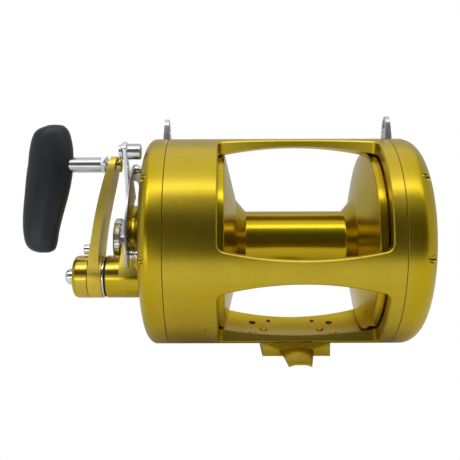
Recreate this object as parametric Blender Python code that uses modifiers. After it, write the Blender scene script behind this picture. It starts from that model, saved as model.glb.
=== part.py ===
"""Two-speed lever-drag trolling reel, made piece by piece.

The spool turns about the X axis, +X points to the plain side plate, -X to the handle, -Y to the line
outlet and +Z up. The origin is the flat land under the foot, where a rod's reel seat carries the reel.
Sizes below are millimetres. Places are given from the spool axis, and MM turns them into metres.
"""
import math

import bmesh
import bpy
from mathutils import Matrix, Vector

MM = 0.001
AXIS_HEIGHT = 96.3            # spool axis above the foot's seat land
CLEAR = 0.3                   # gap between pieces that touch

# Body
BODY_R = 88.0
FRAME_LEFT = -106.2           # seam with the gear side plate
FRAME_RIGHT = 78.0            # seam with the far side plate
WINDOW_LEFT = -64.7
WINDOW_RIGHT = 67.1
WINDOW_CORNER = 5.0
BAR_INNER_END_R = 77.2
BAR_INNER_MID_R = 82.7
CAVITY_R = 80.0
CAVITY_END = -68.0
PLATE_WALL = 5.0
PLATE_FLAT_R = 70.0
GEAR_BAND_END = -116.5
GEAR_FACE = -126.5
FAR_BAND_END = 87.8
FAR_FACE = 104.1
FAR_DISH_R = 62.0
BIG_STEPS = 44
MID_STEPS = 26
SMALL_STEPS = 14

# Crossbars, as angles in degrees from the top towards the front: (at mid length, at the ends)
TOP_BAR_FRONT = (16.7, 21.5)
TOP_BAR_REAR = (8.0, 12.5)
FRONT_BAR_UPPER = (99.0, 94.0)
FRONT_BAR_LOWER = (111.4, 117.6)
BOTTOM_BAR_FRONT = (162.0, 162.0)
BOTTOM_BAR_REAR = (150.0, 145.0)

# Spool and shaft
ARBOR_R = 25.6
ARBOR_HALF = 41.7
SHOULDER_R = 35.6
SHOULDER_HALF = 50.0
RIM_R = 76.1
RIM_HALF_IN = 59.5
RIM_HALF_OUT = 63.0
RIM_LIP_R = 62.0              # a lip stands outside this radius, up to RIM_LIP_END
RIM_LIP_END = 66.5
SHAFT_R = 5.0
SHAFT_BORE_R = 5.6
BEARING_R = 9.5
BEARING_LONG = 6.0

# Gear train: both pairs share one centre distance
MODULE = 1.25
HIGH_TEETH = (46, 15)
LOW_TEETH = (35, 26)
PRESSURE_ANGLE = math.radians(20.0)
BACKLASH = 0.30
HIGH_GEAR_X = (-119.0, -113.5)
LOW_GEAR_X = (-110.5, -105.0)
CENTRE_DISTANCE = sum(HIGH_TEETH) * MODULE / 2
HANDLE_ANGLE = math.radians(-130.3)   # from +Y, seen along the spool axis
HANDLE_Y = CENTRE_DISTANCE * math.cos(HANDLE_ANGLE)
HANDLE_Z = CENTRE_DISTANCE * math.sin(HANDLE_ANGLE)

# Handle
HOUSING_R = 17.6
HOUSING_END = -156.6
BOSS_END = -145.5
SPINDLE_Z = 64.1
SPINDLE_R = 6.3
CASE_SLANT = [(-150.0, -21.8), (-145.5, -21.8), (-141.9, 0.5), (-150.0, 0.5)]   # (x, z) cut off the boss

# Drag lever and quadrant
CAM_HUB_R = 31.0
LEVER_HUB_R = 31.7
LEVER_X = (-141.2, -138.2)
LEVER_KNOB_Y = -40.0
LEVER_KNOB_Z = 73.4
QUADRANT_X = (-137.1, -135.2)
PRESET_R = 20.0

# Foot
FOOT_HALF_LONG = 62.0
FOOT_BLOCK_X = 28.2
FOOT_BLOCK_Y = (-26.0, 29.0)
FOOT_BLOCK_BOTTOM = -95.7
SADDLE_R = 20.0

# Screws in the bottom crossbar, as (x either side of the middle, y)
FOOT_SCREW = (25.4, 18.0)
STUD_PLUG = (35.5, 4.5)
UPRIGHT_HEAD = 2.6            # height of a screw's head

# Holes through the bottom crossbar: x either side of the middle, y, radius, and how deep the drill goes
BELOW_BAR = -100.0
BAR_HOLES = [
    (35.0, 30.0, 3.0, BELOW_BAR),
    (20.0, 34.6, 1.9, BELOW_BAR),
    (*FOOT_SCREW, 3.6, -81.5),
    (*FOOT_SCREW, 2.3, BELOW_BAR),
    (*STUD_PLUG, 3.6, -83.2),
    (*STUD_PLUG, 2.3, BELOW_BAR),
]

# Screws round each side plate
PLATE_SCREW_ANGLES = (53.7, 98.8, 180.0, -98.8, -53.7)
PLATE_SCREW_PLACE_R = 84.0
PLATE_SCREW_R = 2.6

# Clicker: it slides straight down towards the click ratchet, and stops clear of its teeth
CLICK_Y = 22.0
CLICK_Z = 40.0
CLICK_TIP = 30.5
CLICK_RATCHET_R = 27.0
CLICK_TEETH = 24

# Anti-reverse ratchet and its two dogs
RATCHET_TEETH = 20
RATCHET_R = 30.0
DOG_ANGLES = (15.0, 105.0)
DOG_PIVOT_R = 46.0
DOG_LONG = 18.0
DOG_LEAN = 38.0               # degrees that a dog points away from the spool axis
DOG_TIP_HALF = 0.9

# Handle arm, from hub to tip: z, x of its outer face, x of its inner face, half its width
ARM_STATIONS = [
    (-29.0, -170.9, -162.4, 17.0),
    (-10.0, -169.8, -161.6, 17.3),
    (4.6, -167.4, -160.0, 17.4),
    (17.6, -165.3, -158.1, 17.4),
    (34.0, -162.0, -154.9, 17.0),
    (50.0, -158.1, -151.3, 16.0),
    (62.5, -154.7, -148.8, 14.2),
    (67.5, -153.4, -148.0, 11.8),
    (70.4, -152.6, -147.8, 8.0),
]

# Grip, from its lower end up: z, x of the outer edge, x of the inner edge, half its depth
GRIP_STATIONS = [
    (-8.9, -214.6, -206.0, 5.0),
    (-6.6, -221.0, -201.5, 8.4),
    (-1.0, -225.5, -199.3, 10.6),
    (10.0, -227.5, -197.5, 11.8),
    (24.0, -227.5, -194.0, 12.6),
    (40.0, -226.1, -189.6, 13.2),
    (54.0, -224.8, -186.9, 13.5),
    (66.0, -223.2, -185.8, 13.5),
    (78.0, -221.8, -186.0, 12.9),
    (88.0, -219.3, -187.8, 11.6),
    (93.5, -215.2, -190.0, 9.8),
    (97.0, -207.0, -193.5, 6.0),
]

# Posts under the quadrant plate, as (y, z)
POSTS = [(-54.6, -10.0), (-17.6, 60.5), (57.0, 18.0)]

AXIS_TURN = (math.pi / 2, 0.0, math.pi / 2)   # local x, y, z become world y, z, x

GOLD = ("gold_anodised", (0.60, 0.42, 0.05), 0.32, 1.0)
STEEL = ("steel", (0.55, 0.55, 0.55), 0.30, 1.0)
CHROME = ("chrome", (0.75, 0.75, 0.76), 0.08, 1.0)
BRASS = ("gear_bronze", (0.55, 0.36, 0.12), 0.35, 1.0)
BLACK = ("black_grip", (0.012, 0.013, 0.016), 0.45, 0.0)
CARBON = ("carbon_lining", (0.03, 0.03, 0.03), 0.60, 0.0)
RUBBER = ("seal_rubber", (0.01, 0.01, 0.01), 0.70, 0.0)

parts = None
cutters = None


def clear_scene():
    """Remove every object, then make the collections for the reel and for its cutters."""
    global parts, cutters
    for thing in list(bpy.data.objects):
        bpy.data.objects.remove(thing, do_unlink=True)
    parts = bpy.data.collections.new("trolling_reel")
    cutters = bpy.data.collections.new("cutters")
    bpy.context.scene.collection.children.link(parts)
    bpy.context.scene.collection.children.link(cutters)


def material(finish):
    """One Principled material for each finish, shared by the pieces that have it."""
    name, colour, roughness, metallic = finish
    found = bpy.data.materials.get(name)
    if found:
        return found
    made = bpy.data.materials.new(name)
    made.use_nodes = True
    shader = made.node_tree.nodes["Principled BSDF"]
    shader.inputs["Base Color"].default_value = (*colour, 1.0)
    shader.inputs["Roughness"].default_value = roughness
    shader.inputs["Metallic"].default_value = metallic
    return made


def place(x, y, z):
    """World place in metres of a point given in millimetres from the spool axis."""
    return Vector((x, y, z + AXIS_HEIGHT)) * MM


def add_object(name, mesh, finish=None):
    """Link a mesh as a piece of the reel, or as a cutter when it has no finish."""
    thing = bpy.data.objects.new(name, mesh)
    if finish:
        parts.objects.link(thing)
        mesh.materials.append(material(finish))
        mesh.shade_smooth()
        mesh.set_sharp_from_angle(angle=math.radians(32))
    else:
        cutters.objects.link(thing)
        thing.hide_render = True
        thing.display_type = "WIRE"
    return thing


def turned(name, profile, finish=None, at=(0.0, 0.0), steps=SMALL_STEPS, origin_x=0.0):
    """Turn a profile about an axis along X. It holds (radius, x) pairs, from the +X end down the outside.

    A profile that starts off the axis closes on itself and makes a ring.
    """
    mesh = bpy.data.meshes.new(name)
    points = [(radius * MM, 0.0, (x - origin_x) * MM) for radius, x in profile]
    edges = [(i, i + 1) for i in range(len(points) - 1)]
    if profile[0][0] > 0:
        edges.append((len(points) - 1, 0))
    mesh.from_pydata(points, edges, [])
    thing = add_object(name, mesh, finish)
    thing.location = place(origin_x, at[0], at[1])
    thing.rotation_euler = AXIS_TURN
    screw = thing.modifiers.new("turn", "SCREW")
    screw.axis = "Z"
    screw.steps = steps
    screw.render_steps = steps
    screw.use_merge_vertices = True
    screw.merge_threshold = 0.00001
    screw.use_smooth_shade = True
    return thing


def pin(name, radius, x_low, x_high, finish=None, at=(0.0, 0.0), chamfer=0.3, steps=SMALL_STEPS):
    """A plain cylinder along X with broken edges."""
    profile = [
        (0.0, x_high),
        (radius - chamfer, x_high),
        (radius, x_high - chamfer),
        (radius, x_low + chamfer),
        (radius - chamfer, x_low),
        (0.0, x_low),
    ]
    return turned(name, profile, finish, at, steps)


def ring(name, inner, outer, x_low, x_high, finish=None, at=(0.0, 0.0), steps=SMALL_STEPS):
    """A plain ring along X."""
    profile = [(inner, x_high), (outer, x_high), (outer, x_low), (inner, x_low)]
    return turned(name, profile, finish, at, steps)


def drum(name, radius, low, high, sides=SMALL_STEPS):
    """A cutter cylinder between two points, from the cylinder primitive."""
    start = place(*low)
    run = place(*high) - start
    bpy.ops.mesh.primitive_cylinder_add(vertices=sides, radius=radius * MM, depth=run.length)
    thing = bpy.context.active_object
    thing.name = name
    thing.location = start + run / 2
    thing.rotation_euler = run.to_track_quat("Z", "Y").to_euler()
    for holder in list(thing.users_collection):
        holder.objects.unlink(thing)
    cutters.objects.link(thing)
    thing.hide_render = True
    thing.display_type = "WIRE"
    return thing


def box(name, low, high):
    """A cutter or helper box between two corners, from the cube primitive."""
    bm = bmesh.new()
    bmesh.ops.create_cube(bm, size=1.0)
    size = Vector(high) - Vector(low)
    bmesh.ops.scale(bm, vec=size * MM, verts=bm.verts)
    mesh = bpy.data.meshes.new(name)
    bm.to_mesh(mesh)
    bm.free()
    thing = add_object(name, mesh)
    thing.location = place(*((Vector(low) + Vector(high)) / 2))
    return thing


def plate(name, outlines, x_low, x_high, finish=None, at=(0.0, 0.0)):
    """A flat piece across the X axis, from (y, z) outlines: the first is its edge, the others are holes."""
    curve = bpy.data.curves.new(name, "CURVE")
    curve.dimensions = "2D"
    curve.fill_mode = "BOTH"
    curve.extrude = (x_high - x_low) * MM / 2
    for outline in outlines:
        spline = curve.splines.new("POLY")
        spline.points.add(len(outline) - 1)
        for point, (y, z) in zip(spline.points, outline):
            point.co = (y * MM, z * MM, 0.0, 1.0)
        spline.use_cyclic_u = True
    drawn = bpy.data.objects.new(name + "_outline", curve)
    cutters.objects.link(drawn)
    bpy.context.view_layer.update()
    evaluated = drawn.evaluated_get(bpy.context.evaluated_depsgraph_get())
    mesh = bpy.data.meshes.new_from_object(evaluated)
    bpy.data.objects.remove(drawn, do_unlink=True)
    bm = bmesh.new()
    bm.from_mesh(mesh)
    bmesh.ops.remove_doubles(bm, verts=bm.verts, dist=0.000002)
    bmesh.ops.recalc_face_normals(bm, faces=bm.faces)
    bm.to_mesh(mesh)
    bm.free()
    mesh.name = name
    thing = add_object(name, mesh, finish)
    thing.location = place((x_low + x_high) / 2, at[0], at[1])
    thing.rotation_euler = AXIS_TURN
    return thing


def loft(name, sections, finish=None):
    """A solid through a row of closed sections, each a list of (x, y, z) with the same number of points."""
    mesh = bpy.data.meshes.new(name)
    count = len(sections[0])
    centre = sum((Vector(p) for s in sections for p in s), Vector()) / (count * len(sections))
    points = [(Vector(p) - centre) * MM for section in sections for p in section]
    faces = [tuple(range(count)), tuple(range(len(points) - count, len(points)))]
    for row in range(len(sections) - 1):
        for i in range(count):
            j = (i + 1) % count
            low = row * count
            faces.append((low + i, low + j, low + count + j, low + count + i))
    mesh.from_pydata(points, [], faces)
    bm = bmesh.new()
    bm.from_mesh(mesh)
    bmesh.ops.recalc_face_normals(bm, faces=bm.faces)
    bm.to_mesh(mesh)
    bm.free()
    thing = add_object(name, mesh, finish)
    thing.location = place(*centre)
    return thing


def combine(thing, others, operation="DIFFERENCE"):
    """Cut or join other objects with an exact Boolean, and keep them as hidden helpers."""
    for other in others:
        step = thing.modifiers.new(operation.lower(), "BOOLEAN")
        step.operation = operation
        step.solver = "EXACT"
        step.object = other
    return thing


def set_origin(thing, point):
    """Move an object's origin to a world place without moving its mesh."""
    bpy.context.view_layer.update()
    shift = thing.matrix_world.inverted() @ place(*point)
    thing.data.transform(Matrix.Translation(-shift))
    thing.location = place(*point)


def polar(radius, degrees, centre=(0.0, 0.0)):
    """(y, z) at a radius from a centre, by angle from +Y towards +Z."""
    angle = math.radians(degrees)
    return centre[0] + radius * math.cos(angle), centre[1] + radius * math.sin(angle)


def arc(centre, radius, start, end, count):
    """Points on an arc in the YZ plane, by angle in degrees from +Y towards +Z."""
    return [polar(radius, start + (end - start) * i / count, centre) for i in range(count + 1)]


def from_top(radius, degrees):
    """(y, z) at an angle in degrees from the top towards the front."""
    angle = math.radians(degrees)
    return -radius * math.sin(angle), radius * math.cos(angle)


def involute(angle_tangent):
    """Involute function of the angle whose tangent is given."""
    return angle_tangent - math.atan(angle_tangent)


def gear_outline(teeth, toward=0.0, gap=False):
    """Outline of a spur gear with a tooth, or a gap, centred on the direction toward."""
    pitch_r = teeth * MODULE / 2
    base_r = pitch_r * math.cos(PRESSURE_ANGLE)
    root_r = pitch_r - 1.25 * MODULE
    tip_r = pitch_r + 0.85 * MODULE
    first_r = max(base_r, root_r + 0.05)
    at_pitch = math.pi / (2 * teeth) - BACKLASH / (4 * pitch_r) + involute(math.tan(PRESSURE_ANGLE))
    flank = []
    for share in (0.0, 1.0):
        radius = first_r + (tip_r - first_r) * share
        flank.append((radius, at_pitch - involute(math.sqrt(max((radius / base_r) ** 2 - 1, 0.0)))))
    points = []
    for tooth in range(teeth):
        centre = toward + (tooth + (0.5 if gap else 0.0)) * 2 * math.pi / teeth
        side = [(radius, -half) for radius, half in flank]
        side += [(radius, half) for radius, half in reversed(flank)]
        if first_r - root_r > 0.3:
            foot = flank[0][1] * 1.04
            side = [(root_r, -foot)] + side + [(root_r, foot)]
        for radius, turn in side:
            points.append((radius * math.cos(centre + turn), radius * math.sin(centre + turn)))
    return points


def circle(radius, count=SMALL_STEPS, centre=(0.0, 0.0)):
    """A closed circle of points."""
    return arc(centre, radius, 0.0, 360.0 - 360.0 / count, count - 1)


def rounded_corner(flat_r, band_x, face_x, count=4):
    """Quarter ellipse from a side plate's band to its flat face, as (radius, x) pairs."""
    points = []
    for i in range(count + 1):
        angle = math.pi / 2 * i / count
        radius = flat_r + (BODY_R - flat_r) * math.cos(angle)
        points.append((radius, band_x + (face_x - band_x) * math.sin(angle)))
    return points


def angle_at(pair, share):
    """Crossbar edge angle at a share of the half length, 0 at mid length and 1 at the ends."""
    mid, end = pair
    return mid + (end - mid) * share * share


def window_cutter(name, edge_a, edge_b, side):
    """A cutter with radial sides for one opening between two crossbars, side 1 in front and -1 behind."""
    centre = (WINDOW_LEFT + WINDOW_RIGHT) / 2
    half = (WINDOW_RIGHT - WINDOW_LEFT) / 2
    stations = []
    for i in range(5):
        turn = math.pi / 2 * i / 4
        inset = WINDOW_CORNER * (1 - math.cos(turn))
        stations.append((half - inset, WINDOW_CORNER * (1 - math.sin(turn))))
    stations.append((half * 0.62, 0.0))
    stations.append((half * 0.31, 0.0))
    left = [(centre - away, extra) for away, extra in stations]
    right = [(centre + away, extra) for away, extra in reversed(stations)]
    sections = []
    for x, extra in left + [(centre, 0.0)] + right:
        share = abs(x - centre) / half
        turn = math.degrees(extra / BODY_R)
        low = angle_at(edge_a, share) + turn
        high = angle_at(edge_b, share) - turn
        outer = [from_top(BODY_R + 14, low + (high - low) * i / 6) for i in range(7)]
        inner = [from_top(ARBOR_R + 14, high + (low - high) * i / 6) for i in range(7)]
        sections.append([(x, side * y, z) for y, z in outer + inner])
    return loft(name, sections)


def make_frame():
    """The one-piece frame: two rings joined by four crossbars, hollow right through."""
    centre = (WINDOW_LEFT + WINDOW_RIGHT) / 2
    half = (WINDOW_RIGHT - WINDOW_LEFT) / 2
    left = FRAME_LEFT + CLEAR / 2
    right = FRAME_RIGHT - CLEAR / 2
    profile = [(BAR_INNER_END_R, right), (BODY_R, right), (BODY_R, left), (CAVITY_R, left)]
    profile += [(CAVITY_R, CAVITY_END - 2), (BAR_INNER_END_R, CAVITY_END)]
    for i in range(9):
        share = -1 + i / 4
        radius = BAR_INNER_MID_R - (BAR_INNER_MID_R - BAR_INNER_END_R) * share * share
        profile.append((radius, centre + half * share))
    frame = turned("frame", profile, GOLD, steps=BIG_STEPS)
    windows = []
    edges = ((1, TOP_BAR_FRONT, BOTTOM_BAR_FRONT), (-1, TOP_BAR_REAR, BOTTOM_BAR_REAR))
    for side, upper_edge, lower_edge in edges:
        tag = "front" if side > 0 else "rear"
        windows.append(window_cutter(tag + "_upper_window", upper_edge, FRONT_BAR_UPPER, side))
        windows.append(window_cutter(tag + "_lower_window", FRONT_BAR_LOWER, lower_edge, side))
    holes = []
    for i, (x, y, radius, deep) in enumerate(BAR_HOLES):
        for side in (-1, 1):
            tag = f"bar_hole_{i}_{'l' if side < 0 else 'r'}"
            holes.append(drum(tag, radius, (side * x, y, -70.0), (side * x, y, deep), 12))
    combine(frame, windows + holes)


def plate_screws(prefix, plate_piece, x_outer, inward):
    """Recessed screws round the rounded corner of a side plate."""
    pockets = []
    for i, degrees in enumerate(PLATE_SCREW_ANGLES, 1):
        y, z = from_top(PLATE_SCREW_PLACE_R, degrees)
        head_low, head_high = sorted((x_outer + inward * 1.2, x_outer + inward * 3.6))
        pin(f"{prefix}_screw_{i}", PLATE_SCREW_R, head_low, head_high, GOLD, (y, z), steps=10)
        low, high = sorted((x_outer - inward * 6, x_outer + inward * 3.9))
        pocket = drum(f"{prefix}_pocket_{i}", PLATE_SCREW_R + 0.5, (low, y, z), (high, y, z), 10)
        pockets.append(pocket)
    combine(plate_piece, pockets)


def make_gear_side():
    """The gear side plate, with the housing that carries the handle shaft and its bearing."""
    band = FRAME_LEFT - CLEAR / 2
    profile = [(BODY_R - 7, band), (BODY_R, band)]
    profile += rounded_corner(PLATE_FLAT_R, GEAR_BAND_END, GEAR_FACE)
    profile += [(SHAFT_BORE_R + 0.4, GEAR_FACE), (SHAFT_BORE_R + 0.4, GEAR_FACE + PLATE_WALL)]
    profile += [(66.0, GEAR_FACE + PLATE_WALL), (BODY_R - 7, GEAR_BAND_END + 3)]
    side = turned("gear_side_plate", profile, GOLD, steps=BIG_STEPS)
    hole = drum("handle_shaft_hole", 5.6, (-130, HANDLE_Y, HANDLE_Z), (-118, HANDLE_Y, HANDLE_Z), 20)
    combine(side, [hole])
    plate_screws("gear_side", side, GEAR_FACE + 4.2, 1)

    foot_of_case = GEAR_FACE - CLEAR
    wall = HANDLE_Y - HOUSING_R + 0.05
    boss = arc((HANDLE_Y, HANDLE_Z), HOUSING_R - 0.05, 180, 360, 16)
    boss += [(HANDLE_Y + HOUSING_R, HANDLE_Z + 6), (-20.0, -0.8), (wall, -0.8)]
    case = plate("gear_case", [boss], BOSS_END, foot_of_case, GOLD)
    combine(case, [loft("case_slant", [[(x, y, z) for x, z in CASE_SLANT] for y in (-70.0, 30.0)])])
    barrel = pin("gear_case_barrel", HOUSING_R, HOUSING_END, foot_of_case - 1.5, None,
                 (HANDLE_Y, HANDLE_Z), chamfer=0.4, steps=MID_STEPS)
    combine(case, [barrel], "UNION")
    scoop = drum("lever_hub_scoop", LEVER_HUB_R + 0.5, (BOSS_END - 0.4, 0, 0), (-120, 0, 0), MID_STEPS)
    bore = drum("case_bore", SHAFT_R + CLEAR, (-170, HANDLE_Y, HANDLE_Z), (-120, HANDLE_Y, HANDLE_Z), 20)
    seat = drum("case_seat", 11.0, (-170, HANDLE_Y, HANDLE_Z), (-149, HANDLE_Y, HANDLE_Z), 24)
    combine(case, [scoop, bore, seat])
    at = (HANDLE_Y, HANDLE_Z)
    ring("handle_bearing", SHAFT_R + CLEAR, 10.7, -155.9, -149.3, STEEL, at)
    ring("housing_seal", 9.0, 16.4, -157.9, -156.9, RUBBER, at, MID_STEPS)
    ring("chrome_collar", SHAFT_R + CLEAR, 17.4, -159.6, -158.2, CHROME, at, MID_STEPS)
    ring("cam_hub", SHAFT_BORE_R + 0.4, CAM_HUB_R, -137.7, foot_of_case, GOLD, steps=MID_STEPS)


def make_far_side():
    """The plain side plate with its shaft boss, bearing cap and the line clicker."""
    band = FRAME_RIGHT + CLEAR / 2
    inner = FAR_FACE - PLATE_WALL
    profile = [(SHAFT_BORE_R, FAR_FACE - 1.2), (FAR_DISH_R, FAR_FACE - 1.2), (FAR_DISH_R + 1, FAR_FACE)]
    profile += list(reversed(rounded_corner(PLATE_FLAT_R, FAR_BAND_END, FAR_FACE)))
    profile += [(BODY_R, band), (BODY_R - 7, band), (BODY_R - 7, FAR_BAND_END)]
    profile += [(66.0, inner), (14.0, inner), (14.0, inner - 11), (SHAFT_BORE_R, inner - 11)]
    side = turned("far_side_plate", profile, GOLD, steps=BIG_STEPS)
    plate_screws("far_side", side, FAR_FACE - 7.9, -1)
    slot = box("clicker_slot", (90, CLICK_Y - 2.9, CLICK_Z - 2.9), (110, CLICK_Y + 2.9, CLICK_Z + 8.2))
    combine(side, [slot])
    pin("far_bearing_cap", 16.0, FAR_FACE - 0.9, FAR_FACE + 1.2, GOLD, steps=MID_STEPS)
    button = [
        (0.0, 109.0),
        (5.0, 109.0),
        (6.0, 108.0),
        (6.0, FAR_FACE + CLEAR),
        (2.5, FAR_FACE + CLEAR),
        (2.5, 68.0),
        (0.0, 68.0),
    ]
    turned("clicker_button", button, CHROME, (CLICK_Y, CLICK_Z), origin_x=FAR_FACE)
    tongue = [
        (CLICK_Y - 3.0, CLICK_Z + 4),
        (CLICK_Y - 3.0, CLICK_Z - 3),
        (CLICK_Y, CLICK_TIP),
        (CLICK_Y + 3.0, CLICK_Z - 3),
        (CLICK_Y + 3.0, CLICK_Z + 4),
    ]
    plate("clicker_pawl", [tongue], 64.0, 67.7, STEEL)


def make_spool():
    """Spool, its two bearings, the carbon drag disc and the click ratchet."""
    outer = [
        (RIM_LIP_R, RIM_HALF_OUT),
        (RIM_LIP_R, RIM_LIP_END),
        (RIM_R - 0.6, RIM_LIP_END),
        (RIM_R, RIM_LIP_END - 0.6),
        (RIM_R, RIM_HALF_IN),
        (SHOULDER_R, SHOULDER_HALF),
        (ARBOR_R, ARBOR_HALF),
    ]
    mirrored = [(radius, -x) for radius, x in reversed(outer)]
    pocket = BEARING_R + 0.2
    deep = RIM_HALF_OUT - BEARING_LONG
    profile = [(pocket, RIM_HALF_OUT)] + outer + mirrored + [(pocket, -RIM_HALF_OUT)]
    profile += [(pocket, -deep), (SHAFT_BORE_R + 1, -deep), (SHAFT_BORE_R + 1, deep), (pocket, deep)]
    turned("spool", profile, GOLD, steps=BIG_STEPS)
    for side, tag in ((-1, "gear_side"), (1, "far_side")):
        low, high = sorted((side * (deep + CLEAR), side * (RIM_HALF_OUT - 0.2)))
        ring(f"spool_bearing_{tag}", SHAFT_R + CLEAR, BEARING_R - 0.1, low, high, STEEL)
    ring("drag_disc", 20.0, 58.0, -RIM_HALF_OUT - 3.8, -RIM_HALF_OUT - CLEAR, CARBON, steps=MID_STEPS)
    teeth = []
    for i in range(CLICK_TEETH):
        teeth.append(polar(CLICK_RATCHET_R, 360.0 * i / CLICK_TEETH))
        teeth.append(polar(CLICK_RATCHET_R - 3, 360.0 * (i + 0.5) / CLICK_TEETH))
    plate("click_ratchet", [teeth, circle(12.0)], RIM_HALF_OUT + CLEAR, RIM_HALF_OUT + 3.3, STEEL)


def make_shaft():
    """The spool shaft, which the drag cam draws along, and its stack of spring washers."""
    pin("spool_shaft", SHAFT_R, -146.0, 96.0, STEEL, chamfer=0.6)
    profile = []
    for i in range(7):
        profile.append((10.5 if i % 2 else 9.0, 84.0 - i * 2.0))
    for i in reversed(range(7)):
        profile.append((SHAFT_R + (1.9 if i % 2 else CLEAR), 84.0 - i * 2.0))
    turned("drag_spring_washers", profile, STEEL)


def make_gear_train():
    """Pinion cluster, anti-reverse ratchet and its dogs, pressure plate and the two main gears."""
    to_handle = math.atan2(HANDLE_Z, HANDLE_Y)
    to_spool = to_handle + math.pi
    hub = [
        (SHAFT_BORE_R, -72.6),
        (9.0, -72.6),
        (9.0, -112.0),
        (7.6, -112.0),
        (7.6, -120.2),
        (SHAFT_BORE_R, -120.2),
    ]
    cluster = turned("pinion_cluster", hub, BRASS, steps=24)
    high = plate("high_pinion_teeth", [gear_outline(HIGH_TEETH[1], to_handle), circle(7.0)], *HIGH_GEAR_X)
    low = plate("low_pinion_teeth", [gear_outline(LOW_TEETH[1], to_handle), circle(7.0)], *LOW_GEAR_X)
    combine(cluster, [high, low], "UNION")
    ring("pressure_plate", SHAFT_BORE_R, 60.0, -72.3, -67.15, STEEL, steps=MID_STEPS)

    teeth = []
    for i in range(RATCHET_TEETH):
        turn = 360.0 * i / RATCHET_TEETH
        teeth += [polar(RATCHET_R, turn), polar(RATCHET_R - 4, turn + 2)]
    plate("anti_reverse_ratchet", [teeth, circle(9.3)], -102.3, -98.7, STEEL)
    for i, degrees in enumerate(DOG_ANGLES, 1):
        pivot = polar(DOG_PIVOT_R, degrees)
        toward = degrees + 180.0 - DOG_LEAN
        tip = polar(DOG_LONG, toward, pivot)
        outline = arc(pivot, 5.2, toward + 60, toward + 300, 8)
        outline += [polar(DOG_TIP_HALF, toward - 90, tip), polar(DOG_TIP_HALF, toward + 90, tip)]
        dog = plate(f"anti_reverse_dog_{i}", [outline, circle(2.8, 14, pivot)], -102.1, -98.9, STEEL)
        set_origin(dog, (-100.5, *pivot))
        pin(f"dog_pin_{i}", 2.5, -121.2, -97.6, STEEL, pivot, steps=14)

    at = (HANDLE_Y, HANDLE_Z)
    high = [gear_outline(HIGH_TEETH[0], to_spool, gap=True), circle(SHAFT_R + CLEAR)]
    plate("high_gear", high, *HIGH_GEAR_X, BRASS, at)
    low = [gear_outline(LOW_TEETH[0], to_spool, gap=True), circle(SHAFT_R + CLEAR)]
    plate("low_gear", low, *LOW_GEAR_X, BRASS, at)


def make_handle():
    """Handle shaft, hub, arm, grip spindle and the two-speed shift button."""
    at = (HANDLE_Y, HANDLE_Z)
    ring("handle_shaft", 2.6, SHAFT_R, -175.0, -102.4, STEEL, at)
    sections = []
    for z, outer, inner, half in ARM_STATIONS:
        low, high = HANDLE_Y - half, HANDLE_Y + half
        sections.append([(outer, low, z), (outer, high, z), (inner, high, z), (inner, low, z)])
    arm = loft("handle_arm", sections, GOLD)
    hub = pin("arm_hub", HOUSING_R, -171.2, -159.9, None, at, steps=MID_STEPS)
    combine(arm, [hub], "UNION")
    bore = drum("arm_bore", SHAFT_R + CLEAR, (-180, *at), (-150, *at), 20)
    eye = drum("spindle_hole", 4.3, (-180, HANDLE_Y, SPINDLE_Z), (-130, HANDLE_Y, SPINDLE_Z), 16)
    combine(arm, [bore, eye])
    set_origin(arm, (-165.0, *at))
    cap = [
        (7.3, -171.5),
        (HOUSING_R, -171.5),
        (HOUSING_R, -181.5),
        (HOUSING_R - 1.0, -183.6),
        (HOUSING_R - 3.0, -184.4),
        (7.3, -184.4),
    ]
    turned("handle_hub_cap", cap, GOLD, at, MID_STEPS)
    button = [(0.0, -108.0), (2.2, -108.0), (2.2, -181.0), (6.7, -181.0), (6.7, -188.5)]
    button += [(5.6, -190.8), (3.2, -192.2), (0.0, -192.5)]
    turned("shift_button", button, CHROME, at, 16)
    pin("arm_screw", 4.2, -176.6, -170.3, CHROME, (HANDLE_Y, -6.4), chamfer=0.5)

    at = (HANDLE_Y, SPINDLE_Z)
    spindle = [
        (0.0, -146.9),
        (3.9, -146.9),
        (3.9, -156.9),
        (7.2, -156.9),
        (7.2, -161.5),
        (SPINDLE_R, -162.0),
        (SPINDLE_R, -189.0),
        (4.2, -191.0),
        (4.2, -222.0),
        (0.0, -222.0),
    ]
    turned("grip_spindle", spindle, STEEL, at, 18)
    ring("spindle_nut", 4.2, 6.2, -147.2, -145.2, GOLD, at, 16)


def make_grip():
    """The handle grip, which turns freely on its spindle."""
    sections = []
    for z, outer, inner, half in GRIP_STATIONS:
        middle, wide = (outer + inner) / 2, (inner - outer) / 2
        section = []
        for i in range(16):
            turn = 2 * math.pi * i / 16
            x = middle + wide * math.cos(turn)
            section.append((x, HANDLE_Y + half * math.sin(turn), z))
        sections.append(section)
    grip = loft("grip", sections, BLACK)
    at = (HANDLE_Y, SPINDLE_Z)
    bore = drum("grip_bore", 4.6, (-224, *at), (-180, *at), 20)
    mouth = drum("grip_mouth", SPINDLE_R + 0.4, (-191.4, *at), (-180, *at), 24)
    combine(grip, [bore, mouth])
    set_origin(grip, (-205.0, HANDLE_Y, SPINDLE_Z))


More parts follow.
